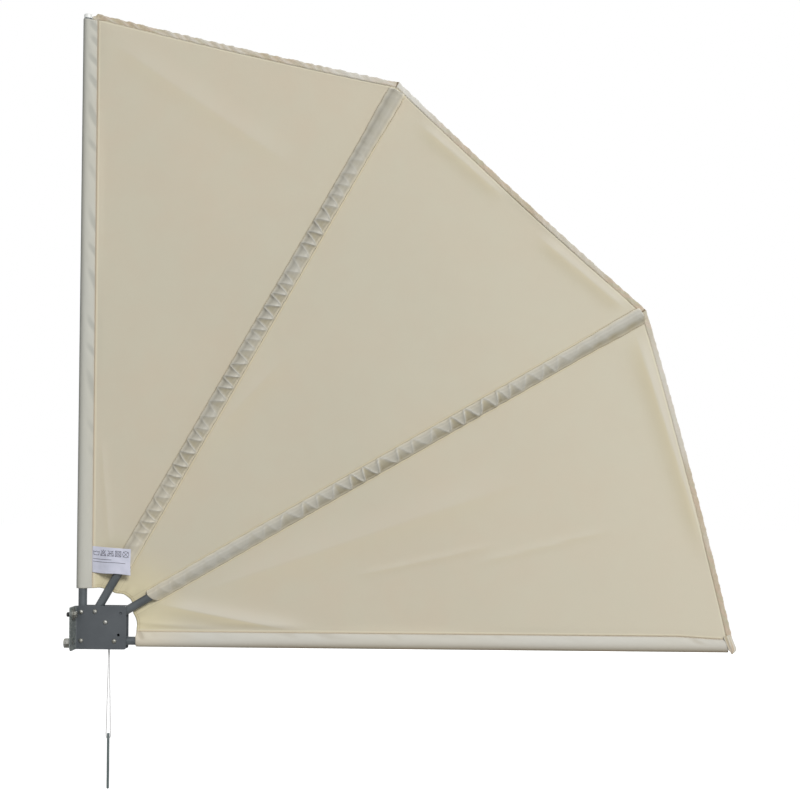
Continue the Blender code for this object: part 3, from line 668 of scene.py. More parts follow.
def tape_finish():
    """The hem: pink-tan and olive patches slant across it where it is puckered; its crests
    get a painted highlight and its troughs painted shade.
    """
    tan = (0.50, 0.435, 0.325)
    cloth, shade, relief = woven("edge tape cloth", tan, (0.56, 0.45, 0.33), (0.60, 0.56, 0.45))
    where, u, v = cloth.uv()
    slant = cloth.node("ShaderNodeCombineXYZ", {}, {0: u + v * 1.6, 1: v * 0.3})
    patch = cloth.noise(slant, 42, 2)
    faded = cloth.noise(cloth.place(), 4.5, 1)
    crest = cloth.kept("crest")
    shade = cloth.layers(
        shade,
        (patch.step(0.5, 0.58) * 0.7, (0.565, 0.455, 0.35)),
        (patch.step(0.46, 0.38) * 0.7, (0.50, 0.47, 0.34)),
        (faded.step(0.52, 0.62) * 0.6, (0.62, 0.60, 0.53)),
        # Painted highlight on the crests of the rope and painted shade in its troughs.
        (crest.step(0.55, 1.0) * 0.5, (0.70, 0.675, 0.62)),
        (crest.step(0.35, 0.0) * 0.45, (0.40, 0.33, 0.20)),
        (cloth.kept("bleach"), (0.68, 0.67, 0.62)),
        (line_mask(v, TAPE_WIDTH - SEAM_IN, 0.0004) * 0.5, (0.36, 0.29, 0.17)),
        (cloth.kept("join"), (0.16, 0.11, 0.06)),
    )
    return cloth.wear(shade, None, relief, 0.00014)


canopy_cloth = sheet_finish()
LOOP_TAN = (0.0048, 0.6, (0.585, 0.495, 0.375))
# The strips' edge colour is pale: a painted highlight along their edges.
EDGE_HIGHLIGHT_1, EDGE_HIGHLIGHT_2 = ((0.0066, share, (0.80, 0.735, 0.585)) for share in (0.8, 0.7))
WALL_HOLLOW_SHADE, LOW_HOLLOW_SHADE = (0.9, (0.15, 0.16, 0.15)), (0.9, (0.25, 0.185, 0.095))
HOLLOW_SHADE_1, HOLLOW_SHADE_2 = (0.70, (0.33, 0.28, 0.165)), (0.70, (0.33, 0.26, 0.105))
wall_cloth = sleeve_finish("wall", (0.535, 0.53, 0.475), LOOP_TAN, WALL_HOLLOW_SHADE)
low_cloth = sleeve_finish("lower", (0.60, 0.59, 0.54), LOOP_TAN, LOW_HOLLOW_SHADE, 0.75)
strip_1_cloth = sleeve_finish("first arm", (0.515, 0.50, 0.445), EDGE_HIGHLIGHT_1, HOLLOW_SHADE_1, 0.6, 0.30)
strip_2_cloth = sleeve_finish("second arm", (0.575, 0.56, 0.50), EDGE_HIGHLIGHT_2, HOLLOW_SHADE_2, 0.7, 0.42)
tape_cloth = tape_finish()
thread = Finish("seam thread", (0.48, 0.41, 0.28), 0.8)
twist = thread.noise(thread.place(), 1400, 2)
thread_yarn = thread.wear(
    thread.mix(twist, (0.42, 0.35, 0.22), (0.56, 0.49, 0.35)), None, twist, 0.0001
)

# %% [markdown]
# ## The sheet
# The sheet hangs behind the two middle arms and comes forward to the seams of the wall
# sleeve and the lower sleeve. Between two arms it is a ruled surface: straight lines
# from the rounded cut-out at the bracket to the hem. Its depth is a gentle slope with a
# few soft folds laid over it, each a ridge along a line, and a slow billow. A simulation
# would settle such a tight sheet almost flat, so the folds are written down instead.

# %% Folds in the sheet
FOLDS = np.array(
    [
        # start x, z, end x, z, half width, height
        (0.150, 0.055, 0.480, -0.007, 0.0200, 0.0046),
        (0.135, 0.010, 0.300, -0.004, 0.0080, 0.0022),
        (0.620, 0.120, 0.880, 0.180, 0.0090, 0.0014),
        (0.880, 0.150, 1.130, 0.215, 0.0100, 0.0014),
        (0.050, 0.390, 0.068, 0.182, 0.0090, 0.0011),
        (0.740, 1.080, 0.900, 0.945, 0.0190, 0.0034),
        (1.000, 0.840, 1.170, 0.700, 0.0190, 0.0036),
        (1.205, 0.620, 1.345, 0.200, 0.0230, 0.0044),
        (0.106, 0.095, 0.114, 0.056, 0.0060, 0.0010),
        (0.063, 0.118, 0.067, 0.096, 0.0035, 0.0006),
        (0.170, 0.300, 0.420, 0.560, 0.0300, 0.0012),
        (0.300, 0.090, 0.900, 0.300, 0.0400, 0.0014),
        (0.090, 1.240, 0.420, 1.020, 0.0300, 0.0014),
    ]
)
BILLOW = 0.0026


def fold_height(point):
    """Sum of soft ridges: each falls off as a bell across its line and at its ends.

    Also gives how far a place lies on the under side of a ridge, where the finish paints
    a warmer shade, and on its upper side, where it paints a paler highlight: 1 beside the
    tallest ridge.
    """
    start, end = FOLDS[:, 0:2], FOLDS[:, 2:4]
    way = end - start
    long = np.linalg.norm(way, axis=1)
    way = way / long[:, None]
    side = together(-way[:, 1], way[:, 0])
    away = point[..., None, :] - start
    along = (away * way).sum(-1) / long
    across = (away * side).sum(-1) / FOLDS[:, 4]
    ends = smooth_step(along / 0.3 + 0.5) * smooth_step((1 - along) / 0.3 + 0.5)
    faces = bell(across, 0, 1.2) * ends * FOLDS[:, 5] / FOLDS[:, 5].max()
    under = (faces * smooth_step(-across / 0.10)).sum(-1)
    over = (faces * smooth_step(across / 0.10)).sum(-1)
    return (FOLDS[:, 5] * (bell(across, 0, 1) * ends)).sum(-1), under, over


def billow(point):
    """Three slow waves in different directions."""
    x, z = point[..., 0], point[..., 1]
    waves = np.sin(7.1 * x + 4.3 * z + 0.6) + np.sin(-5.2 * x + 9.4 * z + 2.1)
    return BILLOW * (waves + 0.5 * np.sin(15.0 * x + 11.0 * z)) / 2.5


# %% [markdown]
# Each gore keeps four distances at its points: from its cut-out, from the seam of the
# sleeve that closes it, from its hem and from the arm's strip. The finish draws its
# lines with them, and two more numbers give each fold a painted highlight on its upper
# side and painted shade on its under side. The first rows of the grid run behind the
# sheet, which is the narrow hem folded back at the cut-out.

# %% Lines of the sheet
CUT_UPPER = ((SEAM_X, 0.0835), (0.0480, 0.0838), (0.0605, 0.0807))
CUT_MIDDLE = ((0.0765, 0.0742), (0.1030, 0.0680), (0.1162, 0.0539))
CUT_LOWER = ((0.1197, 0.0308), (0.1287, 0.0124), (0.1290, -0.0087))
START_1 = 0.0515
START_2 = 0.0613
SAG = (0.0034, 0.0042, -0.0058)
HEM_TUCK = 0.004
FOLD_BACK = np.array([0.0060, 0.0040, 0.0020, 0.0008, 0.0001])
FOLD_LIFT = np.array([0.0011, 0.0011, 0.0011, 0.0010, 0.0006])
SEAM_DROP = 0.0052
DROP_START, DROP_RUN, DROP_WIDE = 1.195, 0.115, 0.07
SEAM_GRIP, ARM_GRIP, HEM_GRIP = (0.002, 0.018), (0.010, 0.05), 0.03
LIP, LIP_SPREAD = 0.0012, 0.02
CLOTH = 0.0005


def seam_drop(arm, along):
    """The lower sleeve narrows over its last stretch, and the sheet comes down with it."""
    return SEAM_DROP * smooth_step((along - DROP_START) / DROP_RUN) * (arm is LOWER_ARM)


def outer_line(first, second, sag, arm_first, arm_second, share, inward=0.0):
    """A gore's outer edge, a chord with a shallow parabola, moved inward along it."""
    share = np.asarray(share)[:, None]
    chord = second - first
    out = np.array([-chord[1], chord[0]]) / np.linalg.norm(chord)
    way = unit(arm_first.along * (1 - share) + arm_second.along * share)
    line = first + chord * share - out * sag * 4 * share * (1 - share)
    return line - way * (inward / (way @ out))[:, None]


def sheet_depth(point, closed_by, arm):
    """0 at the seam of the closing sleeve, growing evenly to the back of the arm."""
    from_seam = np.abs(closed_by[0].off(point, closed_by[1]))
    from_arm = np.abs(arm.off(point))
    room = np.maximum(from_seam + from_arm - SEAM_REST, 1e-6)
    return CLOTH_BACK * np.clip(from_seam / room, 0, 1)


def gore(name, cut, edges, hem, closed_by=None, rows=210, columns=110):
    """One panel of the sheet, a ruled surface from its cut-out to under its hem.

    Beside a seam or an arm it can't fold freely. A grip is how far that holds it still,
    and over what further stretch it lets go. The lip is the cut-out's wavy edge.
    """
    share = np.linspace(0, 1, columns)
    share = share * 0.7 + smooth_step(share) * 0.3
    cut = np.asarray(cut)
    start = along_line(cut, share * arc_length(cut)[-1])
    end = outer_line(*hem, share * edges[2], TAPE_WIDTH - HEM_TUCK)
    run = np.linalg.norm(end - start, axis=1)
    step = np.linspace(0, 1, rows)
    step = step * 0.6 + smooth_step(step) * 0.4
    down = np.concatenate([FOLD_BACK, step * run.mean()]) / run.mean()
    point = start + (end - start) * down[:, None, None]
    high, low = (np.abs(arm.off(point, shift)) for arm, shift in edges[:2])
    depth = np.full(point.shape[:-1], CLOTH_BACK)
    seam = np.full(point.shape[:-1], 1.0)
    if closed_by is not None:
        depth = sheet_depth(point, closed_by, edges[0][0] if closed_by is edges[1] else edges[1][0])
        seam = high if closed_by is edges[0] else low
    sides = list(zip((high, low), edges))
    free = 1.0
    for away, edge in sides:
        held, room = SEAM_GRIP if edge is closed_by else ARM_GRIP
        free = free * smooth_step((away - held) / room)
    to_hem = (1 - down[:, None]) * run + TAPE_WIDTH - HEM_TUCK
    free = free * smooth_step(to_hem / HEM_GRIP)
    near_cut = bell(down[:, None] * run, 0, LIP_SPREAD)
    lip = LIP * near_cut * np.sin(share * 17 + 1.0) * smooth_step(high / LIP_SPREAD)
    ridge, under, over = fold_height(point)
    depth = depth - (ridge + billow(point)) * free + lip * smooth_step(low / LIP_SPREAD)
    depth[: len(FOLD_BACK)] += FOLD_LIFT[:, None]
    z = point[..., 1].copy()
    if closed_by is low_seam:
        along = point[..., 0] - LOWER_ARM.foot[0]
        z -= seam_drop(LOWER_ARM, along) * smooth_step(1 - low / DROP_WIDE)
    grid = together(point[..., 0], depth, z)
    strip = np.minimum.reduce([away for away, edge in sides if edge is not closed_by])
    kept = {
        "from_cut": down[:, None] * run,
        "from_seam": seam,
        "from_hem": to_hem,
        "from_strip": strip,
        # under and over carry the painted shade and the painted highlight of the folds.
        "under": np.clip(under, 0, 1) * free,
        "over": np.clip(over, 0, 1) * free,
    }
    return grid_piece(name, grid, point, canopy_cloth, CLOTH, values=kept)


wall_seam = (WALL_ARM, -SEAM)
low_seam = (LOWER_ARM, SEAM)
line_1, line_2 = (ARM_1, 0.0), (ARM_2, 0.0)
foot_1, foot_2 = ARM_1.flat(START_1, 0.0), ARM_2.flat(START_2, 0.0)
low_seam_z = LOWER_ARM.foot[1] + SEAM
drop = CORNERS[2][1] - CORNERS[3][1]
to_seam = (CORNERS[2][1] - low_seam_z) / drop
HEM_UPPER = (CORNERS[0], CORNERS[1], SAG[0], WALL_ARM, ARM_1)
HEM_MIDDLE = (CORNERS[1], CORNERS[2], SAG[1], ARM_1, ARM_2)
HEM_LOWER = (CORNERS[2], CORNERS[3], SAG[2], ARM_2, LOWER_ARM)
upper_sheet = gore(
    "upper_sheet", (*CUT_UPPER, foot_1), (wall_seam, line_1, 1.0), HEM_UPPER, wall_seam, 230, 90
)
middle_sheet = gore(
    "middle_sheet", (foot_1, *CUT_MIDDLE, foot_2), (line_1, line_2, 1.0), HEM_MIDDLE
)
lower_sheet = gore(
    "lower_sheet", (foot_2, *CUT_LOWER), (line_2, low_seam, to_seam), HEM_LOWER, low_seam
)

# %% [markdown]
# ## Hems
# The outer edge is folded over twice and sewn, and the long seam has drawn the cloth
# up, so the hem looks like a flattened rope: little waves lean across it, and its outer
# line is scalloped. The profile of the hem is a narrow U, from its front inner edge
# round the fold to the back, and the waves are added to it on the way along.

# %% Hem tapes
ROPE_PITCH = 0.029
PROFILE_IN = (1.0, 0.92, 0.7, 0.5, 0.3, 0.12, 0.03, 0)
PROFILE_LAYER = (-0.3, -0.7, -1.0, -1.1, -1.2, -1.1, -0.7, 0)
HEM_PROFILE = together(PROFILE_IN, PROFILE_LAYER)
HEM_HALF = 0.0009
HEM_CLOTH = 0.0004
FINE_PITCH = 0.0105
SCALLOP, FINE_SCALLOP, ROPE_LEAN = 0.0011, 0.0004, 0.0008
LEAD_START, LEAD_END = (0, 0.0150), (0, 0.0060)


def uneven(far, seed):
    """A slow wobble that keeps a regular pattern from looking machined."""
    return 0.35 * np.sin(far * 23 + seed) + 0.25 * np.sin(far * 61 + 2.3 * seed)


def hem_tape(name, hem, depth_of, lead, seed, rope, pale, rows=420):
    """The U-shaped hem along a gore's outer line; rope is the size of its waves.

    pale is (middle, spread, strength) of the stretch near an arm's tip where the hem is
    painted paler, a painted highlight on the cloth folded there.
    lead is where a hem starts that comes in from beside its gore.
    """
    share = np.linspace(0, 1, rows)
    rim = outer_line(*hem, share)
    inner = outer_line(*hem, share, TAPE_WIDTH)
    if lead is not None:
        steps = np.linspace(0, 1, 12)[:-1, None]
        rim = np.concatenate([lead + (rim[0] - lead) * steps, rim])
        below = lead - LEAD_START
        inner = np.concatenate([below + (inner[0] - LEAD_END - below) * steps, inner])
    far = arc_length(rim)[:, None]
    profile = np.concatenate([HEM_PROFILE, HEM_PROFILE[-2::-1] * (1, -1)])
    inward, layer = profile[:, 0], profile[:, 1]
    phase = 2 * np.pi * (far / ROPE_PITCH + uneven(far, seed) - 0.75 * inward)
    finer = 2 * np.pi * (far / FINE_PITCH + 0.8 * uneven(far, seed + 2) + 0.5 * inward)
    scallop = rope * (SCALLOP * np.sin(phase + 1.1) + FINE_SCALLOP * np.sin(finer))
    out = (rim - inner) / TAPE_WIDTH
    point = rim[:, None] + (inner - rim)[:, None] * inward[:, None]
    point = point + out[:, None] * (scallop * (1 - inward) - 0.0002)[..., None]
    crest = (0.5 + 0.5 * np.sin(phase)) ** 1.5
    swell = 1 + rope * (1.2 * crest - 0.4 + 0.3 * np.sin(finer))
    # crest, kept for the finish, sets its painted highlight and shade.
    crest = 0.5 + (crest - 0.5) * rope
    wave = rope * ROPE_LEAN * np.sin(phase * 0.5 + 0.7) * (1 - inward)
    depth = depth_of(inner)[:, None] + HEM_HALF * layer * swell + wave
    grid = together(point[..., 0], depth, point[..., 1])
    uv = together(far, inward * TAPE_WIDTH)
    # Painted highlight: the hem is paler near an arm's tip, where the cloth is folded.
    bleach = pale[2] * bell(far, pale[0], pale[1]) + 0 * crest
    last = far[-1] - far + 0.003 * inward
    join = smooth_step(1.4 - np.abs(last - 0.0026) / 0.0018) * (hem is not HEM_LOWER)
    values = {"crest": crest, "bleach": bleach, "join": join}
    return grid_piece(name, grid, uv, tape_cloth, HEM_CLOTH, values=values)


def flat_back(point):
    return np.full(len(point), CLOTH_BACK)


def upper_depth(point):
    return sheet_depth(np.maximum(point, (CORNERS[0][0], -1)), wall_seam, ARM_1)


def lower_depth(point):
    return sheet_depth(np.maximum(point, (-1, low_seam_z)), low_seam, ARM_2)


TAPE_LEAD = np.array([0.0226, 1.3126])
upper_hem = hem_tape(
    "upper_hem", HEM_UPPER, upper_depth, TAPE_LEAD, 0.4, 0.8, (0.60, 0.09, 0.55)
)
middle_hem = hem_tape("middle_hem", HEM_MIDDLE, flat_back, None, 1.9, 0.55, (0.03, 0.11, 0.9))
lower_hem = hem_tape("lower_hem", HEM_LOWER, lower_depth, None, 3.1, 0.45, (0.16, 0.14, 0.6))

# %% [markdown]
# At the low corner the hem is folded forward over the end of the lower sleeve and hangs
# there as a small pointed flap. It is a patch between two curved edges that meet at its
# tip; it starts at the seam and passes in front of the sleeve.

# %% Folded corner of the hem
FLAP_LEFT = np.array([(1.3905, -0.0075), (1.3940, -0.0190), (1.3980, -0.0310), (1.4055, -0.0430)])
FLAP_RIGHT = np.array([(1.4075, -0.0020), (1.4120, -0.0200), (1.4158, -0.0350), (1.4080, -0.0433)])


def corner_flap(name, rows=40, columns=16):
    """A patch between two edges, with one raised fold down its middle."""
    share = np.linspace(0, 1, rows)
    left, right = (along_line(e, share * arc_length(e)[-1]) for e in (FLAP_LEFT, FLAP_RIGHT))
    q = np.linspace(0, 1, columns)[None, :, None]
    point = left[:, None] + (right - left)[:, None] * q
    down, over = share[:, None], q[..., 0]
    depth = -0.0022 - 0.0092 * smooth_step(down / 0.55)
    depth = depth - 0.0016 * bell(over, 0.45, 0.16) * smooth_step(down / 0.3)
    depth = depth + 0.0012 * bell(over, 0.2, 0.10) * smooth_step(down / 0.4)
    depth = depth + 0.004 * smooth_step((over - 0.72) / 0.28) * (1 - down)
    grid = together(point[..., 0], depth, point[..., 1])
    uv = together(down * 0.04, over * TAPE_WIDTH)
    # crest sets the flap's painted highlight and shade.
    crest = 0.5 + 0.5 * np.cos(2 * np.pi * (over * 1.9 + 0.6 * down))
    # The flap is painted paler towards both its edges.
    bleach = 0.75 * smooth_step((over - 0.55) / 0.3) + 0.5 * smooth_step((0.12 - over) / 0.12)
    values = {"crest": crest, "bleach": bleach + 0 * down, "join": 0 * crest}
    return grid_piece(name, grid, uv, tape_cloth, 2 * HEM_CLOTH, values=values)


flap = corner_flap("low_corner_flap")

# %% [markdown]
# ## Loop sleeves
# Along the wall and along the lowest tube the sheet's own edge is turned round the tube
# and sewn back on itself. Seen from its end that is a drop: round at the back of the
# tube and drawn in to the seam. A grid of rings does it, with faint slanting tension
# folds where the seam pulls. Painted shade darkens the hollows of these folds and the
# sleeve's outer edge.

# %% Wall sleeve and lower sleeve
LOOP_SEAM = 0.0198
LOOP_DEPTH = 0.0098
LOOP_LIMIT = 0.0125
GIRTH = 0.062
PINCH = 0.42
LOOP_WOBBLE = 0.00022
MOUTH_LIP, MOUTH_REACH = 0.0003, 0.004


def loop_sleeve(name, arm, side, ends, lean, back, pulls, shade, cloth, rows=460, around=56):
    """Rings about a tube: a circle behind it and a drop's point at the seam.

    back is how far it stands behind the tube's line at its start and its end. pulls are
    (middle, spread, height, pitch) of the slanting folds beside the seam. shade is
    (strength at the bracket, strength further on, reach) of the painted shade along the
    outer edge.
    """
    start, end = ends
    share = np.linspace(0, 1, rows)[:, None]
    angle = np.linspace(0, 2 * np.pi, around, endpoint=False)[None]
    seamward = (1 + np.cos(angle)) / 2
    along = start + (end + lean * seamward - start) * share
    loose = back[0] + (back[1] - back[0]) * share
    seam = LOOP_SEAM - seam_drop(arm, along)
    reach = np.where(np.cos(angle) > 0, seam, loose)
    across = reach * np.cos(angle)
    pinch = np.where(np.cos(angle) > 0, 1 - PINCH * np.cos(angle) ** 2, 1.0)
    depth = LOOP_DEPTH * np.sin(angle) * pinch
    ripple = np.zeros(along.shape)
    for middle, spread, height, pitch in pulls:
        slant = 2 * np.pi * (along / pitch + 0.9 * seamward + 0.2 * np.sin(along * 31))
        pulled = height * bell(along, middle, spread) * np.sin(slant)
        ripple += pulled * smooth_step((seamward - 0.45) / 0.4)
    ripple += LOOP_WOBBLE * np.sin(along * 9.0 + 1.0) * np.sin(angle * 2 + along * 5)
    depth = depth + ripple * np.sign(np.sin(angle)) * np.abs(np.sin(angle)) ** 0.5
    depth = np.clip(depth, -LOOP_LIMIT, LOOP_LIMIT)
    lip = MOUTH_LIP * bell(share * (end - start), 0, MOUTH_REACH)
    grid = arm.at(along, side * (across + lip), depth)
    girth = np.linspace(0, GIRTH, around + 1)[None]
    edge = np.abs(np.minimum(girth, GIRTH - girth))[:, :-1] + 0 * along
    uv = together(girth, start + (end - start) * share)
    strength = shade[0] + (shade[1] - shade[0]) * smooth_step(share / 0.3)
    # Painted shade: darker towards the outer edge and in the folds' hollows beside the seam.
    dull = strength * np.exp(-(across + loose) / shade[2])
    hollow_shade = np.clip(0.3 * smooth_step(-ripple * 900) * (seamward > 0.4) + dull, 0, 1)
    values = {"from_edge": edge, "hollow_shade": hollow_shade, "crest": 0 * hollow_shade}
    return grid_piece(name, grid, uv, cloth, CLOTH, True, values)


wall_pulls = (
    (1.288, 0.018, 0.0030, 0.050),
    (1.20, 0.16, 0.0019, 0.058),
    (0.75, 0.35, 0.0012, 0.074),
)
low_pulls = ((0.050, 0.020, 0.0018, 0.030), (1.27, 0.08, 0.0010, 0.09), (0.6, 0.5, 0.0005, 0.12))
WALL_ENDS = (CUT_UPPER[0][1], 1.3055)
LOW_ENDS = (CUT_LOWER[-1][0] - LOWER_ARM.foot[0], LOWER_ARM.reach + 0.0012)
WALL_BACK, LOW_BACK = (0.0134, 0.0101), (0.0124, 0.0124)
WALL_SHADE, LOW_SHADE = (0.85, 1.1, 0.0052), (0.55, 1.1, 0.0088)
wall_sleeve = loop_sleeve(
    "wall_sleeve", WALL_ARM, -1, WALL_ENDS, -0.0035, WALL_BACK, wall_pulls, WALL_SHADE, wall_cloth
)
lower_sleeve = loop_sleeve(
    "lower_sleeve", LOWER_ARM, 1, LOW_ENDS, 0.0, LOW_BACK, low_pulls, LOW_SHADE, low_cloth
)

# %% [markdown]
# ## Arm sleeves
# Over each of the two middle arms lies a strip of cloth, sewn to the sheet along both
# edges. The sheet is tight and the strip isn't, so the strip has buckled into a zigzag
# of creases, the pattern that a tin can shows when it is pressed. It is built that way:
# a strip bent over the tube, with ridges along two families of slanting lines that meet
# at the seams. They are strong in the middle of the arm and fade to its ends. Its colour
# holds painted light: a painted highlight on the ridges and flanks, and painted shade in
# the hollows, over its last stretch and where it lies tight on the tube, there also
# standing for the dark tube showing through. The first strip is sewn down a little
# further out on its upper side.

# %% Strips over the middle arms
STRIP_HALF = 0.0158
FLARE = 0.0022
WIDER_1 = 0.0034
STRIP_R = 0.0099
WRAP = math.radians(67)
BEND = 0.62
STRIP_MAP = 0.018
STRIP_BACK = 0.0092
POUCH = 0.0070
CREASE = 0.0026
STRIP_LIMIT = 0.0089
STITCH_PITCH = 0.0054
STITCH_PULL = 0.0006
PAST_CAP = 0.0052


def strip_profile(q):
    """Across and depth of a strip over a tube, for q from -1 to 1 between its seams."""
    angle = np.clip(np.abs(q) / BEND, 0, 1) * WRAP
    past = np.clip((np.abs(q) - BEND) / (1 - BEND), 0, 1)
    end_across, end_depth = STRIP_R * math.sin(WRAP), -STRIP_R * math.cos(WRAP)
    across = STRIP_R * np.sin(angle) + (STRIP_HALF - end_across) * past
    depth = -STRIP_R * np.cos(angle) + (TUBE_R - 0.0003 - end_depth) * past
    return np.sign(q) * across, depth


def zigzag(beat, w, jitter):
    """Sag between creases that zigzag from seam to seam.

    w runs from 0 at one seam to 1 at the other. In every beat one crease slants up and
    one slants down from the same notch, so the cloth between them is a row of
    triangles. Each sags as a parabola, as deep as it is wide: sharp at its creases,
    flat between them. Also gives 1 in the triangles that stand on the second seam.
    """
    lead = 0.57 + jitter
    first, second = lead * w, 1 - (1 - lead) * w
    t = beat % 1
    inside = (t >= first) & (t <= second)
    wide_1 = np.maximum(second - first, 1e-3)
    wide_2 = np.maximum(w, 1e-3)
    t_1 = np.clip((t - first) / wide_1, 0, 1)
    t_2 = np.clip(np.where(t < first, t + 1 - second, t - second) / wide_2, 0, 1)
    sag = np.where(inside, 0.9 * wide_1 * t_1 * (1 - t_1), wide_2 * t_2 * (1 - t_2))
    return (4 * sag) ** 0.62, np.where(inside, 0.0, 1.0)


def flare(share):
    """The strip is a little wider over its last tenth."""
    return FLARE * smooth_step((share - 0.88) / 0.08)


def arm_strip(name, shape, flanks, cloth, rows=1150, columns=34):
    """The strip, with its zigzag of creases; span is the share of the arm they fill.

    Its end is drawn down over the tube's cap to the sheet, like the end of a pouch. last
    is how much painted shade its last stretch gets, on the whole strip and on its under
    side, and flanks how strong the painted highlight on its upper and its under flank is,
    how much painted shade its upper seam gets, how much wider that side is and where
    across it lies tight on the tube, which gets painted shade.
    """
    arm, (mouth, end), span, slope, pitch, seed, last = shape
    share = np.linspace(0, 1, rows)[:, None]
    q = np.linspace(-1, 1, columns)[None]
    across, depth = strip_profile(q)
    over, under, seam, wide, mid = flanks
    across = across * (1 + flare(share) / STRIP_HALF * np.abs(q))
    across = across + wide * smooth_step((q - 0.5) / 0.5)
    along = mouth + (end - mouth) * share
    close = smooth_step((along - (end - POUCH)) / POUCH)
    along = along + (1 - smooth_step(share * 12)) * (slope * across - 0.002 * (1 - q**2))
    wobble = 0.16 * np.sin(along * 17 + seed) + 0.10 * np.sin(along * 53 + 2 * seed)
    beat = along / pitch + wobble
    number = np.floor(beat)
    jitter = 0.12 * np.sin(number * 12.9 + seed)
    w = (1 - q) / 2
    sag, lower = zigzag(beat, w, jitter)
    strength = smooth_step((share - span[0]) / 0.12) * smooth_step((span[1] - share) / 0.14)
    strength = 0.22 + 0.78 * strength
    strength = strength * (1 + 0.40 * np.sin(number * 7.3 + 2.1 * seed))
    inside = smooth_step((1 - np.abs(q)) / 0.30)
    lift = CREASE * strength * (inside * 0.95 - 1.5 * sag * (0.3 + 0.7 * inside))
    lift = np.maximum(lift, -0.0004 - 0.004 * (1 - inside) * (np.abs(q) > BEND))
    stitch = np.sin(2 * np.pi * along / STITCH_PITCH + seed)
    pull = STITCH_PULL * stitch * smooth_step((np.abs(q) - 0.8) / 0.2)
    steep = np.hypot(across, depth)
    across = across * (1 + lift / steep) + np.sign(q) * (pull + 0.0004 * np.sin(2 * np.pi * beat))
    depth = np.minimum(depth * (1 + lift / steep) - 0.4 * np.abs(pull), STRIP_LIMIT)
    depth = depth + (STRIP_BACK - depth) * close
    across = across * (1 - 0.12 * close)
    edge = (1 - np.abs(q)) * STRIP_MAP + 0 * along
    # Painted shade in the crease hollows, strongest in the triangles on the second seam, and over
    # the last stretch; painted highlight on the crease ridges.
    hollow_shade = smooth_step(sag * 1.3 - 0.1) * (0.25 + 0.75 * lower) * strength * (0.4 + 0.6 * inside)
    crest = bell(sag, 0, 0.16) * strength * inside
    dull = (last[0] + last[1] * smooth_step((-q - 0.05) / 0.5)) * smooth_step((share - 0.80) / 0.12)
    hollow_shade = np.maximum(hollow_shade, dull * (1 - 0.25 * np.sin(2 * np.pi * beat)))
    # Painted highlight on the loose flanks; painted shade over the tube and at the upper seam.
    loose = over * bell(q, 0.75, 0.16) + under * bell(q, -0.58, 0.22)
    tight = smooth_step(1.6 - np.abs(q - mid) * 3.2) + seam * smooth_step((q - 0.84) / 0.08)
    uv = together(q * STRIP_MAP, mouth + (end - mouth) * share)
    grid = arm.at(along, across, depth)
    values = {"from_edge": edge, "hollow_shade": np.clip(hollow_shade, 0, 1), "crest": np.clip(crest, 0, 1)}
    values |= {"tight": tight + 0 * share, "loose": loose + 0 * share}
    return grid_piece(name, grid, uv, cloth, CLOTH, values=values)


ENDS_1, ENDS_2 = (0.112, ARM_1.reach + PAST_CAP), (0.110, ARM_2.reach + PAST_CAP)
# The last pair in each shape is the painted shade over the strip's last stretch.
SHAPE_1 = (ARM_1, ENDS_1, (0.02, 0.88), -0.2, 0.0300, 0.7, (0.30, 0.10))
SHAPE_2 = (ARM_2, ENDS_2, (0.22, 0.86), -0.38, 0.0405, 2.2, (0.05, 0.75))
# Flanks: painted highlight on the upper and under flank, painted shade at the upper seam, extra
# width on the upper side, and where across it the painted shade over the tube lies.
FLANKS_1, FLANKS_2 = (0.22, 0.24, 0.85, WIDER_1, 0.1), (0.25, 0.16, 0.0, 0.0, -0.12)
strip_1 = arm_strip("arm_1_strip", SHAPE_1, FLANKS_1, strip_1_cloth)
strip_2 = arm_strip("arm_2_strip", SHAPE_2, FLANKS_2, strip_2_cloth)

# %% [markdown]
# ## Stitches
# Seams are what makes cloth look sewn rather than cut from card. Every stitch is a tiny
# bead of thread lying along its seam and dipping in at both ends. One bead is a closed
# form of a few dozen faces, and it is repeated along a line as one array: each copy
# takes its place, its direction and its outward side from the line.

# %% Rows of stitches
STITCH_LONG = 0.0033
STITCH_R = 0.00036
LOOP_STITCH = 0.0207


def bead():
    """A stitch at the origin along X: rings that swell from one end and close at both."""
    angle = np.linspace(0, 2 * np.pi, 4, endpoint=False) + np.pi / 4
    size = np.array([0.15, 1.0, 1.0, 0.15])
    points = np.zeros((4, 4, 3))
    points[..., 0] = np.array([-0.5, -0.25, 0.25, 0.5])[:, None] * STITCH_LONG
    points[..., 1] = np.cos(angle) * size[:, None] * STITCH_R
    points[..., 2] = np.sin(angle) * size[:, None] * STITCH_R
    points[..., 2] += np.array([-0.6, 0.3, 0.3, -0.6])[:, None] * STITCH_R
    return points


def stitch_rows(name, rows):
    """Beads along several lines; each line comes with the side it lies on."""
    shape = bead()
    index = np.arange(16).reshape(4, 4)
    index = np.concatenate([index, index[:, :1]], axis=1)
    caps = [index[0, [3, 2, 1, 0]], index[3, [0, 1, 2, 3]]]
    faces = np.concatenate([quads_of(index)[:, ::-1], caps])
    made = []
    for line, outward in rows:
        far = arc_length(line)
        count = int(far[-1] / STITCH_PITCH)
        middle = along_line(line, (np.arange(count) + 0.5) * far[-1] / count)
        way = unit(np.gradient(middle, axis=0))
        side = unit(np.cross(np.broadcast_to(outward, way.shape), way))
        rise = np.cross(way, side)
        axes = (way, side, rise)
        turned = [shape[None, ..., k : k + 1] * axes[k][:, None, None] for k in range(3)]
        made.append(middle[:, None, None] + (turned[0] + turned[1]) + turned[2])
    points = np.concatenate(made).reshape(-1, 3)
    copies = np.arange(len(points) // 16)[:, None, None] * 16
    return mesh_piece(name, points, (faces[None] + copies).reshape(-1, 4), thread_yarn)


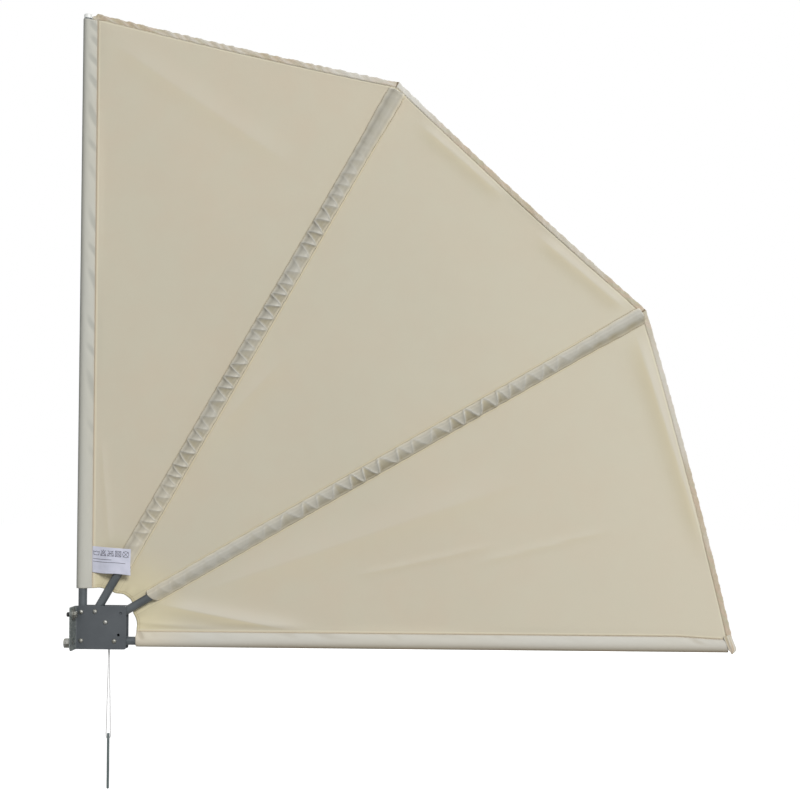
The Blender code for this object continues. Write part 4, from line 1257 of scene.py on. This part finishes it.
def arm_row(arm, sign, across, depth, first, last, wider):
    """A line along an arm at a distance from it that may change on the way."""
    along = np.linspace(first, last, 160)
    return arm.at(along, sign * (across + wider(along)), depth)


def loop_rows(arm, sign, first, wider):
    """One row on each face of a sleeve's seam."""
    return [
        (arm_row(arm, sign, LOOP_STITCH, side * 0.0008, *first, wider), (0, side, 0))
        for side in (-1, 1)
    ]


def strip_row_pairs(arm, mouth, end, wide):
    """A row at each edge of a strip, in front and behind; wide is the upper edge's extra."""
    half = STRIP_HALF + 0.0006
    return [
        (
            arm_row(
                arm,
                sign,
                half + wide * (sign > 0),
                depth,
                mouth + 0.005,
                end - 0.015,
                lambda along: flare((along - mouth) / (end - mouth)),
            ),
            (0, face, 0),
        )
        for depth, face in ((0.0086, -1), (CLOTH_BACK + 0.0004, 1))
        for sign in (-1, 1)
    ]


wall_rows = loop_rows(WALL_ARM, -1, (0.088, 1.298), lambda along: 0.0)
low_rows = loop_rows(LOWER_ARM, 1, (0.050, 1.300), lambda along: -seam_drop(LOWER_ARM, along))
wall_stitches = stitch_rows("wall_sleeve_stitches", wall_rows)
low_stitches = stitch_rows("lower_sleeve_stitches", low_rows)
strip_1_stitches = stitch_rows("arm_1_stitches", strip_row_pairs(ARM_1, *ENDS_1, WIDER_1))
strip_2_stitches = stitch_rows("arm_2_stitches", strip_row_pairs(ARM_2, *ENDS_2, 0.0))


def hem_rows(hem, depth_of, stop=1.0):
    """One row on each face of a hem, just outside its inner edge."""
    share = np.linspace(0.004, 0.996 * stop, 80)
    line = outer_line(*hem, share, TAPE_WIDTH - SEAM_IN)
    depth = depth_of(outer_line(*hem, share, TAPE_WIDTH))
    lift = HEM_HALF + 0.0002
    return [
        (together(line[:, 0], depth + side * lift, line[:, 1]), (0, side, 0))
        for side in (-1, 1)
    ]


upper_hem_stitches = stitch_rows("upper_hem_stitches", hem_rows(HEM_UPPER, upper_depth))
middle_hem_stitches = stitch_rows("middle_hem_stitches", hem_rows(HEM_MIDDLE, flat_back))
lower_hem_stitches = stitch_rows("lower_hem_stitches", hem_rows(HEM_LOWER, lower_depth))

# %% [markdown]
# ## Care label
# A satin tag is caught in the wall sleeve's seam and hangs in front of the first arm.
# It leaves the seam, rises over the arm and droops a little at its free end, so it is a
# sheet whose depth and drop follow simple curves. The marks on it are the plain care
# symbols that every such tag carries, drawn as thin flat strips just proud of the satin,
# and two rules stand in for its small print.

# %% Label
LABEL_WIDTH = 0.0850
LABEL_TOP = 0.1740
LABEL_HEIGHT = 0.0560
INK_LIFT = 0.00028
INK_WIDTH = 0.0010
INK_THICK = 0.00008
INK_STEP = 0.0012
MARK = 0.00135
RULES = ((0.0262, 0.044), (0.0320, 0.074))
MARK_FIRST, MARK_STEP, MARK_DOWN = 0.0094, 0.0163, 0.0125
TAG_NEAR, TAG_RISE, TAG_DROOP = 0.0010, 0.0113, 0.0055
SATIN = 0.0003


def on_label(across, down, lift=0.0):
    """A place on the tag: across from its seam and down from its top, in metres."""
    share = across / LABEL_WIDTH
    rise = smooth_step(share / 0.5)
    depth = -TAG_NEAR - TAG_RISE * rise - lift
    depth = depth - 0.0008 * np.sin(np.pi * share) * smooth_step(down / 0.02)
    depth = depth - 0.0006 * np.sin(down * 70 + share * 5) * smooth_step(share / 0.3)
    droop = TAG_DROOP * share + 0.0009 * np.sin(share * 7) * down / LABEL_HEIGHT
    x = SEAM_X + across - 0.0004 * np.sin(down * 60)
    return together(x, depth, LABEL_TOP - down - droop)


def satin():
    """Smooth white ribbon with a lilac cast, a fine cross rib and painted shade along its
    sewn edge.
    """
    ribbon = Finish("label satin", (0.585, 0.59, 0.69), 0.45, Sheen_Weight=0.15)
    where, u, v = ribbon.uv()
    rib = (v * 9000).sine()
    cloud = ribbon.noise(ribbon.place(), 60, 2)
    shade = ribbon.mix(cloud.step(0.3, 0.7), (0.56, 0.575, 0.675), (0.62, 0.63, 0.735))
    # Painted shade along the edge caught in the seam.
    shade = ribbon.mix(u.step(0.006, 0.0) * 0.4, shade, (0.5, 0.49, 0.55))
    return ribbon.wear(shade, cloud * 0.15 + 0.38, rib, 0.00003)


def print_ink():
    ink = Finish("label ink", (0.09, 0.09, 0.12), 0.6)
    speck = ink.noise(ink.place(), 2500, 2)
    return ink.wear(ink.mix(speck.step(0.35, 0.7), (0.07, 0.07, 0.10), (0.16, 0.16, 0.2)))


u, v = np.meshgrid(np.linspace(0, LABEL_WIDTH, 60), np.linspace(0, LABEL_HEIGHT, 40))
label = grid_piece("label", on_label(u, v), together(u, v), satin(), SATIN)


def ring_line(x, y, radius):
    angle = np.linspace(0, 2 * np.pi, 25)
    return together(x + radius * np.cos(angle), y + radius * np.sin(angle))


def care_marks():
    """Lines of five care symbols: wash, then bleach, dry, iron and clean, these four crossed out.
    """
    tub = [(-5, -2), (-4, 4), (4, 4), (5, -2), (2.5, -0.5), (0, -2), (-2.5, -0.5), (-5, -2)]
    triangle = [(-5, 4), (0, -5), (5, 4), (-5, 4)]
    square = [(-4.5, -4.5), (4.5, -4.5), (4.5, 4.5), (-4.5, 4.5), (-4.5, -4.5)]
    iron = [(-5, 4), (-3.5, 0), (4, 0), (5, 4), (-5, 4)]
    grip = [(-2, -3.5), (3.5, -3.5), (4.2, 0)]
    cross = [(-4.5, -4.5), (4.5, 4.5)], [(-4.5, 4.5), (4.5, -4.5)]
    shapes = (
        [tub],
        [triangle, *cross],
        [iron, grip, *cross],
        [square, ring_line(0, 0, 3.2), *cross],
        [ring_line(0, 0, 4.8), *cross],
    )
    lines = []
    for column, shape in enumerate(shapes):
        middle = np.array([MARK_FIRST + MARK_STEP * column, MARK_DOWN])
        lines += [middle + np.array(line) * MARK for line in shape]
    return lines + [np.array([(0.002, down), (reach, down)]) for down, reach in RULES]


def printed(name, lines, width, material):
    """Flat strips along lines on the tag, wide enough to read and a hair above it."""
    points, faces, count = [], [], 0
    for line in lines:
        far = arc_length(line)
        where = np.unique(np.concatenate([np.arange(0, far[-1], INK_STEP), far]))
        fine = np.stack([np.interp(where, far, line[:, k]) for k in range(2)], axis=1)
        way = np.gradient(fine, axis=0)
        side = together(-way[:, 1], way[:, 0])
        side *= width / 2 / np.linalg.norm(side, axis=1)[:, None]
        pair = np.stack([fine - side, fine + side], axis=1)
        points.append(on_label(pair[..., 0], pair[..., 1], INK_LIFT).reshape(-1, 3))
        k = np.arange(len(fine) - 1)[:, None] * 2 + count
        faces.append(k + np.array([0, 1, 3, 2]))
        count += 2 * len(fine)
    return mesh_piece(name, np.concatenate(points), np.concatenate(faces), material, INK_THICK)


ink = printed("care_symbols", care_marks(), INK_WIDTH, print_ink())

# %% [markdown]
# ## What moves with what
# Folded up, the arms stand side by side and the sheet hangs gathered between them. The
# strips and sleeves simply ride on their arms. A gore can't turn with one arm; here each
# gore rides on one body and gets a mesh of its own.

# %% Riding
LOW_UP = (0, 0, 1)
ARM_2_ACROSS, ARM_2_FOOT, SEAM_FOOT, LOW_FOOT = (
    (float(x), 0, float(z)) for x, z in (ARM_2.across, ARM_2.foot, CUT_UPPER[0], LOWER_ARM.foot)
)
PRESSED = 0.025
upper_way = ("bracket", "arm_1_fold", (1, 0, 0), SEAM_FOOT, PRESSED)
middle_way = ("arm_2", "arm_2_fold", ARM_2_ACROSS, ARM_2_FOOT, PRESSED)
lower_way = ("lower_arm", "lower_arm_fold", LOW_UP, LOW_FOOT, PRESSED)
label_way = ("bracket", "arm_1_fold", (0, 1, 0), (0.075, -0.0115, 0.145), 0.05)
for piece, (body, *fold), part, slot_name in (
    (upper_sheet, upper_way, "upper_panel", "canopy_cloth"),
    (middle_sheet, middle_way, "middle_panel", "canopy_cloth"),
    (lower_sheet, lower_way, "lower_panel", "canopy_cloth"),
    (upper_hem, upper_way, "upper_edge_tape", "edge_tape"),
    (middle_hem, middle_way, "middle_edge_tape", "edge_tape"),
    (lower_hem, lower_way, "lower_edge_tape", "edge_tape"),
    (upper_hem_stitches, upper_way, None, "edge_tape"),
    (middle_hem_stitches, middle_way, None, "edge_tape"),
    (lower_hem_stitches, lower_way, None, "edge_tape"),
    (label, label_way, "care_label", "label_satin"),
    (ink, label_way, None, "label_satin"),
    (wall_sleeve, ("bracket",), "wall_arm_sleeve", "sleeve_cloth"),
    (strip_1, ("arm_1",), "arm_1_sleeve", "sleeve_cloth"),
    (strip_2, ("arm_2",), "arm_2_sleeve", "sleeve_cloth"),
    (lower_sleeve, ("lower_arm",), "lower_arm_sleeve", "sleeve_cloth"),
    (flap, ("lower_arm",), None, "edge_tape"),
    (wall_stitches, ("bracket",), None, "edge_tape"),
    (strip_1_stitches, ("arm_1",), None, "edge_tape"),
    (strip_2_stitches, ("arm_2",), None, "edge_tape"),
    (low_stitches, ("lower_arm",), None, "edge_tape"),
):
    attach(piece, body)
    if fold:
        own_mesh(piece)
    if part:
        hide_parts(part)

# %% [markdown]
# Each sheet is listed with the size it was cut to. The gores are four-sided, so they
# give the rectangle round them; the piece's own area is worked out and not kept.


# %% Sheets and their flat sizes
def declare(piece, width, length):
    """Works out the piece's own area before it gets thickness, at most the flat rectangle;
    the result is not kept.
    """
    areas = np.zeros(len(piece.data.polygons))
    piece.data.polygons.foreach_get("area", areas)
    area = min(float(areas.sum()), width * length)


declare(upper_sheet, 0.66, 1.24)
declare(middle_sheet, 0.68, 1.28)
declare(lower_sheet, 0.68, 1.30)
for piece, width, length, tube, rows_of in (
    (wall_sleeve, 0.080, 1.230, "wall_arm_tube", wall_stitches),
    (lower_sleeve, 0.081, 1.275, "lower_arm_tube", low_stitches),
    (strip_1, 0.057, 1.180, "arm_1_tube", strip_1_stitches),
    (strip_2, 0.054, 1.220, "arm_2_tube", strip_2_stitches),
):
    declare(piece, width, length)
for piece, length, sheet_piece in (
    (upper_hem, 0.70, upper_sheet),
    (middle_hem, 0.74, middle_sheet),
    (lower_hem, 0.76, lower_sheet),
):
    declare(piece, 0.028, length)
declare(label, 0.0852, 0.0562)

# %% [markdown]
# ## Light, floor and background
# The photograph has soft daylight from above and a little to the right, on plain white.
# One broad lamp stands there and the sky around gives the rest, at a level where a
# colour comes out about as it is written. Only the camera and reflections see the sky
# as pure white. The floor is pale, and adds just enough light of its own towards the
# camera to match the white while keeping the shadow.

# %% Light and floor
SKY_LEVEL = 0.36
KEY_FROM = np.array([4.3, -8.0, 5.0])
KEY_TO = np.array([0.7, 0.0, 0.3])
KEY_POWER = 712.0
KEY_SIZE = 2.8
BACK_FROM = np.array([1.6, 4.2, 2.4])
BACK_TO = np.array([0.6, 0.0, 0.5])
BACK_POWER = 125.0
BACK_SIZE = 3.0
FLOOR_Z = -0.62


def world_light():
    """White sky for the camera and reflections, and a dimmer one that gives the light."""
    world = bpy.data.worlds.new("white studio")
    bpy.context.scene.world = world
    world.use_nodes = True
    sky = Nodes(world.node_tree)
    camera_ray, glossy, clear = (
        sky.node("ShaderNodeLightPath", {}, {}, f"Is {ray} Ray")
        for ray in ("Camera", "Glossy", "Transmission")
    )
    seen = camera_ray.maths("MAXIMUM", glossy.maths("MAXIMUM", clear))
    level = sky.node("ShaderNodeMapRange", {}, {"Value": seen, "To Min": SKY_LEVEL})
    ground = sky.tree.nodes["Background"]
    ground.inputs["Color"].default_value = (1, 1, 1, 1)
    sky.tree.links.new(level.socket, ground.inputs["Strength"])


def soft_lamp(name, source, target, power, size):
    """A square lamp at one place that faces another."""
    lamp = bpy.data.lights.new(name, "AREA")
    lamp.shape = "SQUARE"
    lamp.size = size
    lamp.energy = power
    back = unit(source - target)
    side = unit(np.cross((0, 0, 1), back))
    set_place(add_object(name, lamp), side, np.cross(back, side), back, source)


def floor_finish():
    """Pale floor; towards the camera it adds light of its own, up to the white sky."""
    pale = Finish("pale floor", (0.5, 0.5, 0.5), 0.9, Specular_IOR_Level=0.2)
    speckle = pale.noise(pale.place(), 3, 2)
    pale.wear(pale.mix(speckle, (0.49, 0.49, 0.49), (0.51, 0.51, 0.51)))
    seen = pale.node("ShaderNodeLightPath", {}, {}, "Is Camera Ray")
    glow = pale.mix(seen, (0, 0, 0), (0.78, 0.78, 0.78))
    pale.shader.inputs["Emission Strength"].default_value = 1.0
    pale.tree.links.new(glow.socket, pale.shader.inputs["Emission Color"])
    return pale.material


world_light()
soft_lamp("key", KEY_FROM, KEY_TO, KEY_POWER, KEY_SIZE)
soft_lamp("back fill", BACK_FROM, BACK_TO, BACK_POWER, BACK_SIZE)
spread = np.linspace(-30, 30, 3)
floor_x, floor_y = np.meshgrid(spread, spread)
floor_grid = together(floor_x, floor_y, FLOOR_Z)
floor = grid_piece("floor", floor_grid, floor_grid[..., :2], floor_finish())
bpy.context.scene.view_settings.view_transform = "Standard"
